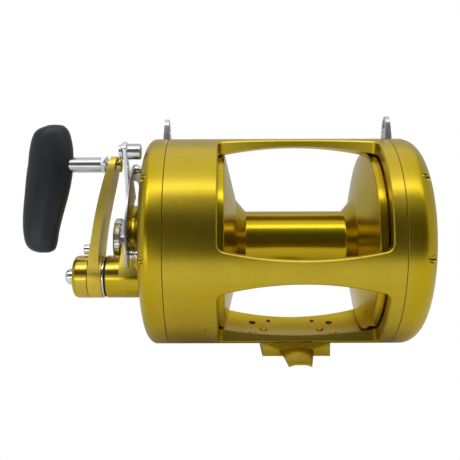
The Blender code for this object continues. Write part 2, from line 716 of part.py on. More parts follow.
def make_lever():
    """Drag lever with its hub and knob, and the preset knob at its centre."""
    hub = [
        (SHAFT_BORE_R + 0.4, LEVER_X[1]),
        (LEVER_HUB_R, LEVER_X[1]),
        (LEVER_HUB_R, LEVER_X[1] - 1.4),
        (24.0, -141.4),
        (14.0, -142.7),
        (10.0, -143.0),
        (SHAFT_BORE_R + 0.4, -143.0),
    ]
    lever = turned("drag_lever", hub, CHROME, steps=MID_STEPS)
    reach = math.hypot(LEVER_KNOB_Y, LEVER_KNOB_Z)
    along = Vector((LEVER_KNOB_Y, LEVER_KNOB_Z)) / reach
    across = Vector((along.y, -along.x))
    blade = []
    for share, half in ((0.28, 11.0), (0.6, 7.0), (0.9, 5.8)):
        blade.append(tuple(along * reach * share + across * half))
    heading = math.degrees(math.atan2(along.y, along.x))
    blade += arc((LEVER_KNOB_Y, LEVER_KNOB_Z), 7.7, heading - 50, heading + 50, 8)
    for share, half in ((0.9, 5.8), (0.6, 7.0), (0.28, 11.0)):
        blade.append(tuple(along * reach * share - across * half))
    stud_hole = circle(3.4, 16, (LEVER_KNOB_Y, LEVER_KNOB_Z))
    arm = plate("lever_arm", [blade, stud_hole], LEVER_X[0], LEVER_X[1] - 0.2)
    combine(lever, [arm], "UNION")
    knob = [
        (0.0, -128.4),
        (3.0, -128.4),
        (3.0, -141.5),
        (6.9, -141.5),
        (6.9, -142.6),
        (5.8, -143.2),
        (5.8, -144.2),
        (5.2, -144.6),
        (0.0, -144.6),
    ]
    at = (LEVER_KNOB_Y, LEVER_KNOB_Z)
    turned("lever_knob", knob, CHROME, at, 18)
    ring("lever_knob_sleeve", 3.3, 6.4, LEVER_X[1] + CLEAR, -127.2, CHROME, at, 18)

    preset = [
        (0.0, -149.0),
        (SHAFT_BORE_R, -149.0),
        (SHAFT_BORE_R, -143.4),
        (9.0, -143.4),
        (9.0, -147.6),
        (PRESET_R, -147.6),
        (PRESET_R, -152.2),
        (PRESET_R - 2, -154.0),
        (0.0, -154.0),
    ]
    knob = turned("preset_knob", preset, CHROME, steps=MID_STEPS)
    grooves = []
    for i in range(8):
        y, z = from_top(PRESET_R + 1.4, 45.0 * i + 22.5)
        grooves.append(drum(f"preset_groove_{i}", 2.4, (-156, y, z), (-146, y, z), 12))
    combine(knob, grooves)


def make_quadrant():
    """The fixed lever quadrant and the posts that hold it off the side plate."""
    outer_r = 66.5
    outline = arc(POSTS[0], 10.6, 280, 190.4, 6)
    outline += arc((0, 0), outer_r, 189.0, 18.0, 26)
    outline += arc((0, 0), 53.0, 15.0, 78.6, 10)
    outline += [(-10.6, 51.9), (-10.6, 37.0)]
    outline += arc((0, 0), 38.5, 112.0, 176.0, 10)
    outline += [(-44.8, 3.0), (-44.6, -8.0)]
    plate("quadrant_plate", [outline], *QUADRANT_X, STEEL)
    for i, at in enumerate(POSTS, 1):
        pin(f"quadrant_post_{i}", 3.7, QUADRANT_X[1] + CLEAR, GEAR_FACE - CLEAR, CHROME, at, steps=16)


def make_lug(name, x_middle, top):
    """A harness lug with an oval eye, standing on a side plate's band."""
    wide = 9.0
    outline = []
    for i in range(7):
        y = -wide + 2 * wide * i / 6
        outline.append((y, math.sqrt((BODY_R + CLEAR) ** 2 - y * y)))
    outline += arc((0.0, top - 7.6), 7.6, 0, 180, 12)
    eye = []
    for i in range(16):
        turn = 2 * math.pi * i / 16
        eye.append((4.6 * math.cos(turn), top - 8.6 + 5.4 * math.sin(turn)))
    lug = plate(name, [outline, eye], x_middle - 2.8, x_middle + 2.8, CHROME)
    for vertex in lug.data.vertices:
        rise = (vertex.co.y / MM - BODY_R) / (top - BODY_R)
        vertex.co.z *= 1 - 0.4 * rise


def foot_section(y, half, under_half, top, crown):
    """One cross-section of the foot: a crowned top, and a flat land in the middle of a hollow underside."""
    land = 4.0

    def under(share):
        x = under_half * share
        return x, y, -AXIS_HEIGHT - max(x * x - land * land, 0.0) / (2 * SADDLE_R)

    shares = (-1.0, -0.72, -land / under_half, land / under_half, 0.72, 1.0)
    points = [under(share) for share in shares]
    for share in (1.0, 0.6, 0.0, -0.6, -1.0):
        points.append((half * share, y, top - crown * share * share))
    return points


def make_foot():
    """The rod foot: a block under the bottom crossbar with a tongue to the front and to the rear."""
    front, rear = FOOT_BLOCK_Y
    rows = [
        (-FOOT_HALF_LONG, 8.6, 8.6, -94.0, 0.9),
        (-FOOT_HALF_LONG + 1.6, 9.4, 9.2, -93.6, 1.2),
        (front - 1.5, 14.4, 9.5, -87.8, 3.4),
        (front + 6.0, 14.6, 9.5, -87.4, 3.4),
        (rear - 6.0, 14.6, 9.5, -87.4, 3.4),
        (rear + 1.5, 14.4, 9.5, -87.8, 3.4),
        (FOOT_HALF_LONG - 1.6, 9.4, 9.2, -93.6, 1.2),
        (FOOT_HALF_LONG, 8.6, 8.6, -94.0, 0.9),
    ]
    sections = [foot_section(*row) for row in rows]
    foot = loft("reel_foot", sections, GOLD)
    block = box("foot_block", (-FOOT_BLOCK_X, front, FOOT_BLOCK_BOTTOM), (FOOT_BLOCK_X, rear, -82.0))
    combine(foot, [block], "UNION")
    bed = drum("foot_bed", BODY_R + CLEAR, (-60, 0, 0), (60, 0, 0), BIG_STEPS)
    holes = [bed]
    for side in (-1, 1):
        x = side * FOOT_SCREW[0]
        holes.append(drum(f"foot_hole_{side + 2}", 2.3, (x, FOOT_SCREW[1], -80), (x, FOOT_SCREW[1], -95), 12))
    combine(foot, holes)
    bolts = (("foot_screw", FOOT_SCREW, -81.2, -94.5), ("stud_plug", STUD_PLUG, -82.8, -87.4))
    for label, (x, y), under_head, end in bolts:
        for side in (-1, 1):
            upright_screw(f"{label}_{'left' if side < 0 else 'right'}", (side * x, y), under_head, end)


def upright_screw(name, at, under_head, end):
    """A socket screw standing in the bottom crossbar, head up."""
    mesh = bpy.data.meshes.new(name)
    head = under_head + UPRIGHT_HEAD
    profile = [(0.0, head - 1.0), (1.3, head - 1.0), (1.3, head), (2.7, head), (3.2, head - 0.5)]
    profile += [(3.2, under_head), (2.0, under_head), (2.0, end), (0.0, end)]
    points = [(radius * MM, 0.0, (z - under_head) * MM) for radius, z in profile]
    mesh.from_pydata(points, [(i, i + 1) for i in range(len(points) - 1)], [])
    thing = add_object(name, mesh, GOLD)
    thing.location = place(at[0], at[1], under_head)
    screw = thing.modifiers.new("turn", "SCREW")
    screw.axis = "Z"
    screw.steps = 10
    screw.render_steps = 10
    screw.use_merge_vertices = True
    screw.merge_threshold = 0.00001
    screw.use_smooth_shade = True


clear_scene()
make_frame()
make_gear_side()
make_far_side()
make_spool()
make_shaft()
make_gear_train()
make_handle()
make_grip()
make_lever()
make_quadrant()
make_lug("harness_lug_gear_side", -109.2, 105.8)
make_lug("harness_lug_far_side", 81.2, 108.0)
make_foot()
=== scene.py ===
"""Looks of the two-speed trolling reel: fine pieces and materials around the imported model.

+X runs along the spool axis to the plain side plate, -Y is the line outlet and +Z is up. Sizes are
millimetres, places are given from the spool axis, and MM turns both into metres.
"""
import math

import bmesh
import bpy
from mathutils import Matrix, Vector


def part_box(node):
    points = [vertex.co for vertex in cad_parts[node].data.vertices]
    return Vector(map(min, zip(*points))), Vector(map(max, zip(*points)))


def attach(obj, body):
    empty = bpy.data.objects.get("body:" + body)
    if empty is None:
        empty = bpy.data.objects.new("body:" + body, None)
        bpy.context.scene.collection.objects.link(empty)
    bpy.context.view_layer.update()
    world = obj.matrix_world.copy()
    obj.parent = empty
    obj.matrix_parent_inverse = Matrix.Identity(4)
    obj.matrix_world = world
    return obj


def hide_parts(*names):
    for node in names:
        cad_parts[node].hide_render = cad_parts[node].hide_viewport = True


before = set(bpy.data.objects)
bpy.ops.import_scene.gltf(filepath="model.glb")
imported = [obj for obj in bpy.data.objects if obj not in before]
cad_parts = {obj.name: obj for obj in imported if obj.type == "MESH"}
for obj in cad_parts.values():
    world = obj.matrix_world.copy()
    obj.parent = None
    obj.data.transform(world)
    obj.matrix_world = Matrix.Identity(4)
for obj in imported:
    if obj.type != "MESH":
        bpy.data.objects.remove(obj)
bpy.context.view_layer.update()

MM = 0.001


def middle(node):
    """Middle of a CAD node's box, in metres."""
    low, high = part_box(node)
    return (low + high) / 2


AXIS_Z = middle("spool").z / MM


def middle_at(node):
    """(y, z) of the middle of a CAD node, in millimetres from the spool axis."""
    return Vector((middle(node).y, middle(node).z)) / MM - Vector((0, AXIS_Z))


def ends(node):
    """Lowest and highest x of a CAD node, in millimetres."""
    low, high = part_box(node)
    return low.x / MM, high.x / MM


# Axes of the handle, the grip's spindle and the lever's knob
HANDLE = middle_at("handle_shaft")
SPINDLE = middle_at("spindle_nut")
KNOB = middle_at("lever_knob")
SPOOL = (0.0, 0.0)

BODY_R = (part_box("frame")[1].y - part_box("frame")[0].y) / MM / 2

# Steps round a circle, by its size
FINE = 240
ROUND = 96
SMALL = 48


# ---------------------------------------------------------------- mesh helpers

# Corners of a turned profile that bend less than this stay as they are
SLIGHT_BEND = math.radians(12)


def world_matrix():
    """Takes points in millimetres from the spool axis to the row frame in metres."""
    return Matrix.Translation((0, 0, AXIS_Z * MM)) @ Matrix.Scale(MM, 4)


def add_object(name, data):
    """A new object in the scene."""
    thing = bpy.data.objects.new(name, data)
    bpy.context.scene.collection.objects.link(thing)
    return thing


def smooth(mesh, sharp=30.0):
    """Shade a mesh smooth, apart from edges that bend more than an angle in degrees."""
    mesh.shade_smooth()
    mesh.set_sharp_from_angle(angle=math.radians(sharp))


def link(name, bm, sharp=30.0):
    """Make an object of a bmesh given in millimetres from the spool axis."""
    bmesh.ops.recalc_face_normals(bm, faces=bm.faces)
    mesh = bpy.data.meshes.new(name)
    bm.to_mesh(mesh)
    bm.free()
    mesh.transform(world_matrix())
    smooth(mesh, sharp)
    return add_object(name, mesh)


def soften(profile, width, steps=3):
    """Round the corners of a profile of (radius, x) pairs. Points on the axis stay as they are."""
    made = []
    count = len(profile)
    for i, point in enumerate(profile):
        here = Vector(point)
        if point[0] <= 0:
            made.append(tuple(here))
            continue
        before = Vector(profile[i - 1]) - here
        after = Vector(profile[(i + 1) % count]) - here
        bend = math.pi - before.angle(after, math.pi)
        if bend < SLIGHT_BEND:
            made.append(tuple(here))
            continue
        reach = min(width, before.length * 0.4, after.length * 0.4)
        start = here + before.normalized() * reach
        end = here + after.normalized() * reach
        for step in range(steps + 1):
            t = step / steps
            made.append(tuple(start * (1 - t) ** 2 + here * 2 * t * (1 - t) + end * t * t))
    return made


def ring(bm, x, at, radii):
    """Add a ring of vertices round an axis along X to a bmesh, one for each radius."""
    made = []
    for i, radius in enumerate(radii):
        turn = 2 * math.pi * i / len(radii)
        made.append(bm.verts.new((x, at[0] + radius * math.cos(turn), at[1] + radius * math.sin(turn))))
    return made


def spin(bm, profile, at=SPOOL, steps=FINE):
    """Add a turned shape about an axis along X to a bmesh, closed if it starts off the axis."""
    rings = []
    for radius, x in profile:
        if radius <= 0:
            rings.append([bm.verts.new((x, *at))])
        else:
            rings.append(ring(bm, x, at, [radius] * steps))
    pairs = list(zip(rings, rings[1:]))
    if profile[0][0] > 0:
        pairs.append((rings[-1], rings[0]))
    for low, high in pairs:
        for i in range(steps):
            j = (i + 1) % steps
            if len(low) == 1:
                bm.faces.new((low[0], high[i], high[j]))
            elif len(high) == 1:
                bm.faces.new((low[i], high[0], low[j]))
            else:
                bm.faces.new((low[i], high[i], high[j], low[j]))


def turned(name, profile, at=SPOOL, steps=ROUND, width=0.5):
    """A turned piece with softened edges."""
    bm = bmesh.new()
    spin(bm, soften(profile, width), at, steps)
    return link(name, bm)


def lofted(name, sections, sharp=30.0):
    """A solid through a row of closed sections."""
    bm = bmesh.new()
    rows = [[bm.verts.new(point) for point in section] for section in sections]
    count = len(rows[0])
    for low, high in zip(rows, rows[1:]):
        for i in range(count):
            j = (i + 1) % count
            bm.faces.new((low[i], low[j], high[j], high[i]))
    bm.faces.new(rows[0])
    bm.faces.new(list(reversed(rows[-1])))
    return link(name, bm, sharp)


def slab(name, outlines, x_low, x_high):
    """A flat piece across X from (y, z) outlines: the first is its edge and the others are holes."""
    curve = bpy.data.curves.new(name, "CURVE")
    curve.dimensions = "2D"
    curve.fill_mode = "BOTH"
    curve.extrude = (x_high - x_low) / 2
    for outline in outlines:
        spline = curve.splines.new("POLY")
        spline.points.add(len(outline) - 1)
        for point, (y, z) in zip(spline.points, outline):
            point.co = (y, z, 0.0, 1.0)
        spline.use_cyclic_u = True
    drawn = add_object(name, curve)
    bpy.context.view_layer.update()
    mesh = bpy.data.meshes.new_from_object(drawn.evaluated_get(bpy.context.evaluated_depsgraph_get()))
    bpy.data.objects.remove(drawn)
    bm = bmesh.new()
    bm.from_mesh(mesh)
    bpy.data.meshes.remove(mesh)
    bmesh.ops.remove_doubles(bm, verts=bm.verts, dist=0.002)
    for vertex in bm.verts:
        y, z, x = vertex.co
        vertex.co = (x + (x_low + x_high) / 2, y, z)
    bmesh.ops.dissolve_limit(bm, angle_limit=0.01, verts=bm.verts, edges=bm.edges)
    return link(name, bm)


def bar(name, radius, low, high, sides=SMALL):
    """A cylinder between two points, for cutting."""
    start, end = Vector(low), Vector(high)
    run = end - start
    bm = bmesh.new()
    bmesh.ops.create_cone(bm, cap_ends=True, segments=sides, radius1=radius, radius2=radius, depth=run.length)
    turn = run.to_track_quat("Z", "Y").to_matrix().to_4x4()
    bmesh.ops.transform(bm, matrix=Matrix.Translation((start + end) / 2) @ turn, verts=bm.verts)
    return link(name, bm)


def block(name, low, high):
    """A box between two corners, for cutting or joining."""
    bm = bmesh.new()
    bmesh.ops.create_cube(bm, size=1.0)
    size, centre = Vector(high) - Vector(low), (Vector(high) + Vector(low)) / 2
    bmesh.ops.transform(bm, matrix=Matrix.Translation(centre) @ Matrix.Diagonal((*size, 1)), verts=bm.verts)
    return link(name, bm)


def hexagon(name, at, x, radius):
    """A short hexagonal bar along X, for cutting or joining."""
    bm = bmesh.new()
    bmesh.ops.create_cone(bm, cap_ends=True, segments=6, radius1=radius, radius2=radius, depth=4.0)
    turn = Matrix.Translation((x, *at)) @ Matrix.Rotation(math.pi / 2, 4, "Y")
    bmesh.ops.transform(bm, matrix=turn, verts=bm.verts)
    return link(name, bm)


def settle(thing):
    """Replace an object's mesh by its evaluated one, and drop its modifiers."""
    bpy.context.view_layer.update()
    graph = bpy.context.evaluated_depsgraph_get()
    mesh = bpy.data.meshes.new_from_object(thing.evaluated_get(graph))
    thing.modifiers.clear()
    thing.data = mesh
    return thing


def combine(thing, others, operation="DIFFERENCE"):
    """Cut or join other objects into a piece, and remove them."""
    for other in others:
        step = thing.modifiers.new("cut", "BOOLEAN")
        step.operation = operation
        step.solver = "EXACT"
        step.object = other
    settle(thing)
    for other in others:
        bpy.data.objects.remove(other)
    return thing


def bevel(thing, width, steps=2):
    """Round a piece's sharp edges, then shade it smooth."""
    step = thing.modifiers.new("edges", "BEVEL")
    step.width = width * MM
    step.segments = steps
    step.limit_method = "ANGLE"
    step.angle_limit = math.radians(35)
    settle(thing)
    smooth(thing.data)
    return thing


def arc(centre, radius, start, end, count):
    """Points on an arc in the YZ plane, by angle in degrees from +Y towards +Z."""
    points = []
    for i in range(count + 1):
        turn = math.radians(start + (end - start) * i / count)
        points.append((centre[0] + radius * math.cos(turn), centre[1] + radius * math.sin(turn)))
    return points


def circle(radius, centre):
    """A closed circle of points."""
    return arc(centre, radius, 0.0, 360.0 - 360.0 / SMALL, SMALL - 1)


def quarter(centre, reach, count):
    """Quarter ellipse, which starts off the centre by the first reach and ends off it by the second."""
    points = []
    for i in range(count + 1):
        turn = math.pi / 2 * i / count
        points.append((centre[0] + reach[0] * math.cos(turn), centre[1] + reach[1] * math.sin(turn)))
    return points


def refine(rows, count):
    """More rows between rows of numbers, along a smooth curve through them."""
    made = []
    for i in range(len(rows) - 1):
        a, b = rows[max(i - 1, 0)], rows[i]
        c, d = rows[i + 1], rows[min(i + 2, len(rows) - 1)]
        for step in range(count):
            t = step / count
            row = []
            for p, q, r, s in zip(a, b, c, d):
                row.append(0.5 * (2 * q + (r - p) * t + (2 * p - 5 * q + 4 * r - s) * t * t
                                  + (3 * q - p - 3 * r + s) * t ** 3))
            made.append(tuple(row))
    return made + [tuple(rows[-1])]


def from_top(radius, degrees):
    """(y, z) at an angle in degrees from the top towards the front."""
    turn = math.radians(degrees)
    return -radius * math.sin(turn), radius * math.cos(turn)


def finish_piece(thing, material, body, slot, *nodes):
    """Give a piece its material and body, and let it stand for CAD nodes. The slot is not used."""
    thing.data.materials.clear()
    thing.data.materials.append(material)
    if nodes:
        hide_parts(*nodes)
    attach(thing, body)
    return thing


def turned_piece(node, profile, at, material, body, slot, steps=ROUND, width=0.5):
    """A turned piece that stands for one CAD node."""
    return finish_piece(turned(f"{node}_fine", profile, at, steps, width), material, body, slot, node)


# ---------------------------------------------------------------- materials

class Look:
    """A Principled material with its nodes within reach."""

    def __init__(self, name, colour, roughness, metallic=1.0):
        self.material = bpy.data.materials.new(name)
        self.material.use_nodes = True
        self.nodes = self.material.node_tree.nodes
        self.links = self.material.node_tree.links
        self.shader = self.nodes["Principled BSDF"]
        self.colour, self.roughness = colour, roughness
        self.shader.inputs["Metallic"].default_value = metallic
        self.shader.inputs["Base Color"].default_value = (*colour, 1.0)
        self.shader.inputs["Roughness"].default_value = roughness
        self.place = self.nodes.new("ShaderNodeTexCoord").outputs["Object"]
        self.height = None

    def math(self, operation, first, second=None):
        """A Math node on sockets or numbers."""
        node = self.nodes.new("ShaderNodeMath")
        node.operation = operation
        for socket, value in zip(node.inputs, (first, second)):
            if value is None:
                continue
            if isinstance(value, (int, float)):
                socket.default_value = value
            else:
                self.links.new(value, socket)
        return node.outputs[0]

    def noise(self, size, detail=2.0, stretch=(1.0, 1.0, 1.0)):
        """Noise with features of a size in millimetres, longer along an axis where stretch is above 1."""
        mapping = self.nodes.new("ShaderNodeMapping")
        mapping.inputs["Scale"].default_value = [1 / s for s in stretch]
        self.links.new(self.place, mapping.inputs["Vector"])
        node = self.nodes.new("ShaderNodeTexNoise")
        node.inputs["Scale"].default_value = 1 / (size * MM)
        node.inputs["Detail"].default_value = detail
        self.links.new(mapping.outputs["Vector"], node.inputs["Vector"])
        return node.outputs["Fac"]

    def rings(self, size, at):
        """Lines left by a lathe, running round an axis along X at (y, z)."""
        parts = self.nodes.new("ShaderNodeSeparateXYZ")
        self.links.new(self.place, parts.inputs[0])
        y = self.math("SUBTRACT", parts.outputs["Y"], at[0] * MM)
        z = self.math("SUBTRACT", parts.outputs["Z"], (at[1] + AXIS_Z) * MM)
        squares = self.math("ADD", self.math("MULTIPLY", y, y), self.math("MULTIPLY", z, z))
        along = self.math("ADD", self.math("SQRT", squares), parts.outputs["X"])
        node = self.nodes.new("ShaderNodeTexNoise")
        node.noise_dimensions = "1D"
        node.inputs["Scale"].default_value = 1 / (size * MM)
        node.inputs["Detail"].default_value = 3.0
        self.links.new(along, node.inputs["W"])
        return node.outputs["Fac"]

    def remap(self, value, low, high, to_low, to_high):
        """Carry a value from one range to another, held within its ends."""
        node = self.nodes.new("ShaderNodeMapRange")
        for socket, number in zip(node.inputs[1:5], (low, high, to_low, to_high)):
            socket.default_value = number
        self.links.new(value, node.inputs["Value"])
        return node.outputs["Result"]

    def relief(self, value, depth):
        """Add a height field, whose full range is a depth in millimetres, to the surface's relief."""
        scaled = self.math("MULTIPLY", value, depth)
        self.height = scaled if self.height is None else self.math("ADD", self.height, scaled)
        return self

    def vary_roughness(self, value, spread):
        """Let roughness run either side of its value."""
        result = self.remap(value, 0.3, 0.7, self.roughness - spread, self.roughness + spread)
        self.links.new(result, self.shader.inputs["Roughness"])
        return self

    def tint(self, value, other):
        """Mix the colour towards another by a value from 0 to 1."""
        node = self.nodes.new("ShaderNodeMix")
        node.data_type = "RGBA"
        current = self.shader.inputs["Base Color"]
        if current.is_linked:
            self.links.new(current.links[0].from_socket, node.inputs[6])
        else:
            node.inputs[6].default_value = (*self.colour, 1.0)
        node.inputs[7].default_value = (*other, 1.0)
        self.links.new(value, node.inputs["Factor"])
        self.links.new(node.outputs[2], current)
        return self

    def worn_edges(self, other, amount=0.6):
        """Lighten the proud edges, unevenly."""
        proud = self.nodes.new("ShaderNodeNewGeometry").outputs["Pointiness"]
        edges = self.remap(proud, 0.52, 0.62, 0.0, amount)
        return self.tint(self.math("MULTIPLY", edges, self.noise(2.0)), other)

    def mottle(self, size, detail, spread, amount, other):
        """Mix the colour towards another in patches, where noise runs between two levels."""
        return self.tint(self.remap(self.noise(size, detail), *spread, 0.0, amount), other)

    def done(self):
        """Connect the relief, and return the material."""
        if self.height is not None:
            bump = self.nodes.new("ShaderNodeBump")
            bump.inputs["Distance"].default_value = MM
            self.links.new(self.height, bump.inputs["Height"])
            self.links.new(bump.outputs["Normal"], self.shader.inputs["Normal"])
        return self.material


GOLD = (0.60, 0.435, 0.014)
PALE_GOLD = (0.80, 0.66, 0.18)
DEEP_GOLD = (0.52, 0.36, 0.010)


def anodised(name, colour, roughness, patch):
    """Gold anodised aluminium: a thin clear oxide skin, uneven dye in patches and paler edges."""
    look = Look(name, colour, roughness)
    look.shader.inputs["Coat Weight"].default_value = 0.05
    look.shader.inputs["Coat Roughness"].default_value = 0.22
    look.shader.inputs["Coat IOR"].default_value = 1.6
    look.mottle(patch, 3.0, (0.35, 0.7), 0.5, DEEP_GOLD)
    look.worn_edges(PALE_GOLD)
    return look


def gold(name, roughness=0.30, grain=0.003, lines=0.0015, at=SPOOL):
    """Satin gold with a blasted grain and faint lathe lines."""
    look = anodised(name, GOLD, roughness, 28.0)
    fine = look.noise(0.5, 2.0)
    look.vary_roughness(fine, 0.04)
    look.relief(fine, grain)
    if lines:
        look.relief(look.rings(0.35, at), lines)
    return look.done()


def milled_gold(name, along, roughness=0.3, colour=GOLD):
    """Gold with cutter marks along a direction."""
    look = anodised(name, colour, roughness, 20.0)
    marks = look.noise(0.5, 2.0, along)
    look.vary_roughness(marks, 0.05)
    look.relief(marks, 0.003).relief(look.noise(0.7), 0.003)
    return look.done()


def chrome(name, roughness=0.07):
    """Bright chrome with hairline scratches and faint smears."""
    look = Look(name, (0.80, 0.80, 0.82), roughness)
    look.vary_roughness(look.noise(6.0, 4.0), 0.03)
    look.relief(look.noise(0.4, 3.0, (9.0, 1.0, 1.0)), 0.0006)
    look.worn_edges((0.95, 0.95, 0.96), 0.5)
    return look.done()


def brushed_steel(name, along, roughness=0.3, colour=(0.52, 0.52, 0.53)):
    """Stainless steel brushed along a direction."""
    look = Look(name, colour, roughness)
    marks = look.noise(0.3, 3.0, along)
    look.vary_roughness(marks, 0.08)
    look.relief(marks, 0.003)
    look.mottle(9.0, 3.0, (0.4, 0.7), 0.4, (0.42, 0.42, 0.43))
    look.worn_edges((0.8, 0.8, 0.82), 0.7)
    return look.done()


def turned_metal(name, colour, roughness, at=SPOOL, bright=(0.8, 0.8, 0.8)):
    """A plain turned metal piece with lathe lines."""
    look = Look(name, colour, roughness)
    lines = look.rings(0.25, at)
    look.vary_roughness(lines, 0.06)
    look.relief(lines, 0.003)
    look.mottle(8.0, 4.0, (0.4, 0.7), 0.5, tuple(c * 0.75 for c in colour))
    look.worn_edges(bright, 0.6)
    return look.done()


def black_grip(name):
    """Satin black moulding with a fine pebble and faint hand polish."""
    look = Look(name, (0.012, 0.0135, 0.019), 0.40, 0.0)
    look.shader.inputs["Specular IOR Level"].default_value = 0.45
    look.mottle(25.0, 4.0, (0.35, 0.7), 0.6, (0.020, 0.022, 0.028))
    look.vary_roughness(look.noise(14.0, 3.0), 0.05)
    look.relief(look.noise(0.5, 1.0), 0.006)
    return look.done()


def carbon(name):
    """Woven carbon drag lining."""
    look = Look(name, (0.03, 0.03, 0.032), 0.55, 0.0)
    weave = look.nodes.new("ShaderNodeTexChecker")
    weave.inputs["Scale"].default_value = 1 / (2.0 * MM)
    look.links.new(look.place, weave.inputs["Vector"])
    look.tint(look.math("MULTIPLY", weave.outputs["Fac"], 0.6), (0.06, 0.06, 0.065))
    look.relief(weave.outputs["Fac"], 0.03)
    look.vary_roughness(look.noise(1.5), 0.08)
    return look.done()


def rubber(name):
    """Dull black seal rubber."""
    look = Look(name, (0.012, 0.012, 0.012), 0.65, 0.0)
    look.vary_roughness(look.noise(1.0), 0.1)
    look.mottle(3.0, 2.0, (0.4, 0.7), 0.5, (0.03, 0.03, 0.03))
    look.relief(look.noise(0.3), 0.01)
    return look.done()


# ---------------------------------------------------------------- frame and side plates

SEAM_LEFT, SEAM_RIGHT = ends("frame")
WINDOW = (-64.7, 67.1)
WINDOW_MID = sum(WINDOW) / 2
WINDOW_HALF = (WINDOW[1] - WINDOW[0]) / 2
WINDOW_CORNER = 5.0
RIM_CHAMFER = 0.9
BAR_INNER_END_R = 77.2
BAR_INNER_MID_R = 82.7
CAVITY_R = 80.0
SEAM_LIP = 0.3

# Crossbar edges in degrees from the top towards the front: at mid length, and at the ends
TOP_FRONT = (16.7, 21.5)
TOP_REAR = (8.0, 12.5)
UPPER_EDGE = (99.0, 94.0)
LOWER_EDGE = (111.4, 117.6)
BOTTOM_FRONT = (162.0, 162.0)
BOTTOM_REAR = (150.0, 145.0)

# Screws in the bottom crossbar, and every hole there: x either side of the middle, y, radius, bottom
FOOT_SCREW = (25.4, 18.0)
STUD_PLUG = (35.5, 4.5)
BAR_HOLES = [
    (35.0, 30.0, 3.0, -100.0),
    (20.0, 34.6, 1.9, -100.0),
    (*FOOT_SCREW, 3.6, -81.5),
    (*FOOT_SCREW, 2.3, -100.0),
    (*STUD_PLUG, 3.6, -83.2),
    (*STUD_PLUG, 2.3, -100.0),
]
PLATE_SCREW_ANGLES = (53.7, 98.8, 180.0, -98.8, -53.7)
PLATE_SCREW_PLACE_R = 84.0
POCKET_R = 3.1


def bar_edge(pair, x):
    """Angle in degrees of a crossbar's edge at a place along the reel."""
    share = abs(x - WINDOW_MID) / WINDOW_HALF
    return pair[0] + (pair[1] - pair[0]) * share * share


def window_edges(edge_a, edge_b):
    """The two long edges of a window as (x, arc length from the top), with rounded corners."""
    stations = []
    for i in range(9):
        turn = math.pi / 2 * i / 8
        away = WINDOW_HALF - WINDOW_CORNER * (1 - math.cos(turn))
        stations.append((away, WINDOW_CORNER * (1 - math.sin(turn))))
    for i in range(1, 12):
        stations.append(((WINDOW_HALF - WINDOW_CORNER) * (1 - i / 12), 0.0))
    places = [(WINDOW_MID - away, extra) for away, extra in stations] + [(WINDOW_MID, 0.0)]
    places += [(WINDOW_MID + away, extra) for away, extra in reversed(stations)]
    low = [Vector((x, math.radians(bar_edge(edge_a, x)) * BODY_R + extra)) for x, extra in places]
    high = [Vector((x, math.radians(bar_edge(edge_b, x)) * BODY_R - extra)) for x, extra in places]
    return low, high


def outward(line, side):
    """Unit vectors across a window's edge, away from the window."""
    made = [Vector((-1, 0))]
    for before, after in zip(line, line[2:]):
        run = after - before
        made.append(Vector((run.y, -run.x)).normalized() * side)
    return made + [Vector((1, 0))]


def window_cutter(name, edge_a, edge_b, side):
    """A cutter with radial walls that flares at the shell's surface, which leaves a chamfered rim."""
    low, high = window_edges(edge_a, edge_b)
    low_out, high_out = outward(low, 1), outward(high, -1)
    levels = [
        (40.0, 0.0),
        (BODY_R - RIM_CHAMFER, 0.0),
        (BODY_R + RIM_CHAMFER, 2 * RIM_CHAMFER),
        (BODY_R + 6, 2 * RIM_CHAMFER + 2),
    ]
    across, along = 24, len(low) - 1
    bm = bmesh.new()
    grid = {}
    for i in range(along + 1):
        for j in range(across + 1):
            for k, (radius, away) in enumerate(levels):
                if i in (0, along) or j in (0, across) or k in (0, len(levels) - 1):
                    a = low[i] + low_out[i] * away
                    b = high[i] + high_out[i] * away
                    x, arc_long = a.lerp(b, j / across)
                    y, z = from_top(radius, math.degrees(arc_long / BODY_R))
                    grid[i, j, k] = bm.verts.new((x, side * y, z))

    def face(*keys):
        """A face of the cutter between places in the grid."""
        bm.faces.new([grid[key] for key in keys])

    top = len(levels) - 1
    for i in range(along):
        for j in range(across):
            for k in (0, top):
                face((i, j, k), (i + 1, j, k), (i + 1, j + 1, k), (i, j + 1, k))
        for k in range(top):
            for j in (0, across):
                face((i, j, k), (i + 1, j, k), (i + 1, j, k + 1), (i, j, k + 1))
    for j in range(across):
        for k in range(top):
            for i in (0, along):
                face((i, j, k), (i, j + 1, k), (i, j + 1, k + 1), (i, j, k + 1))
    return link(name, bm)


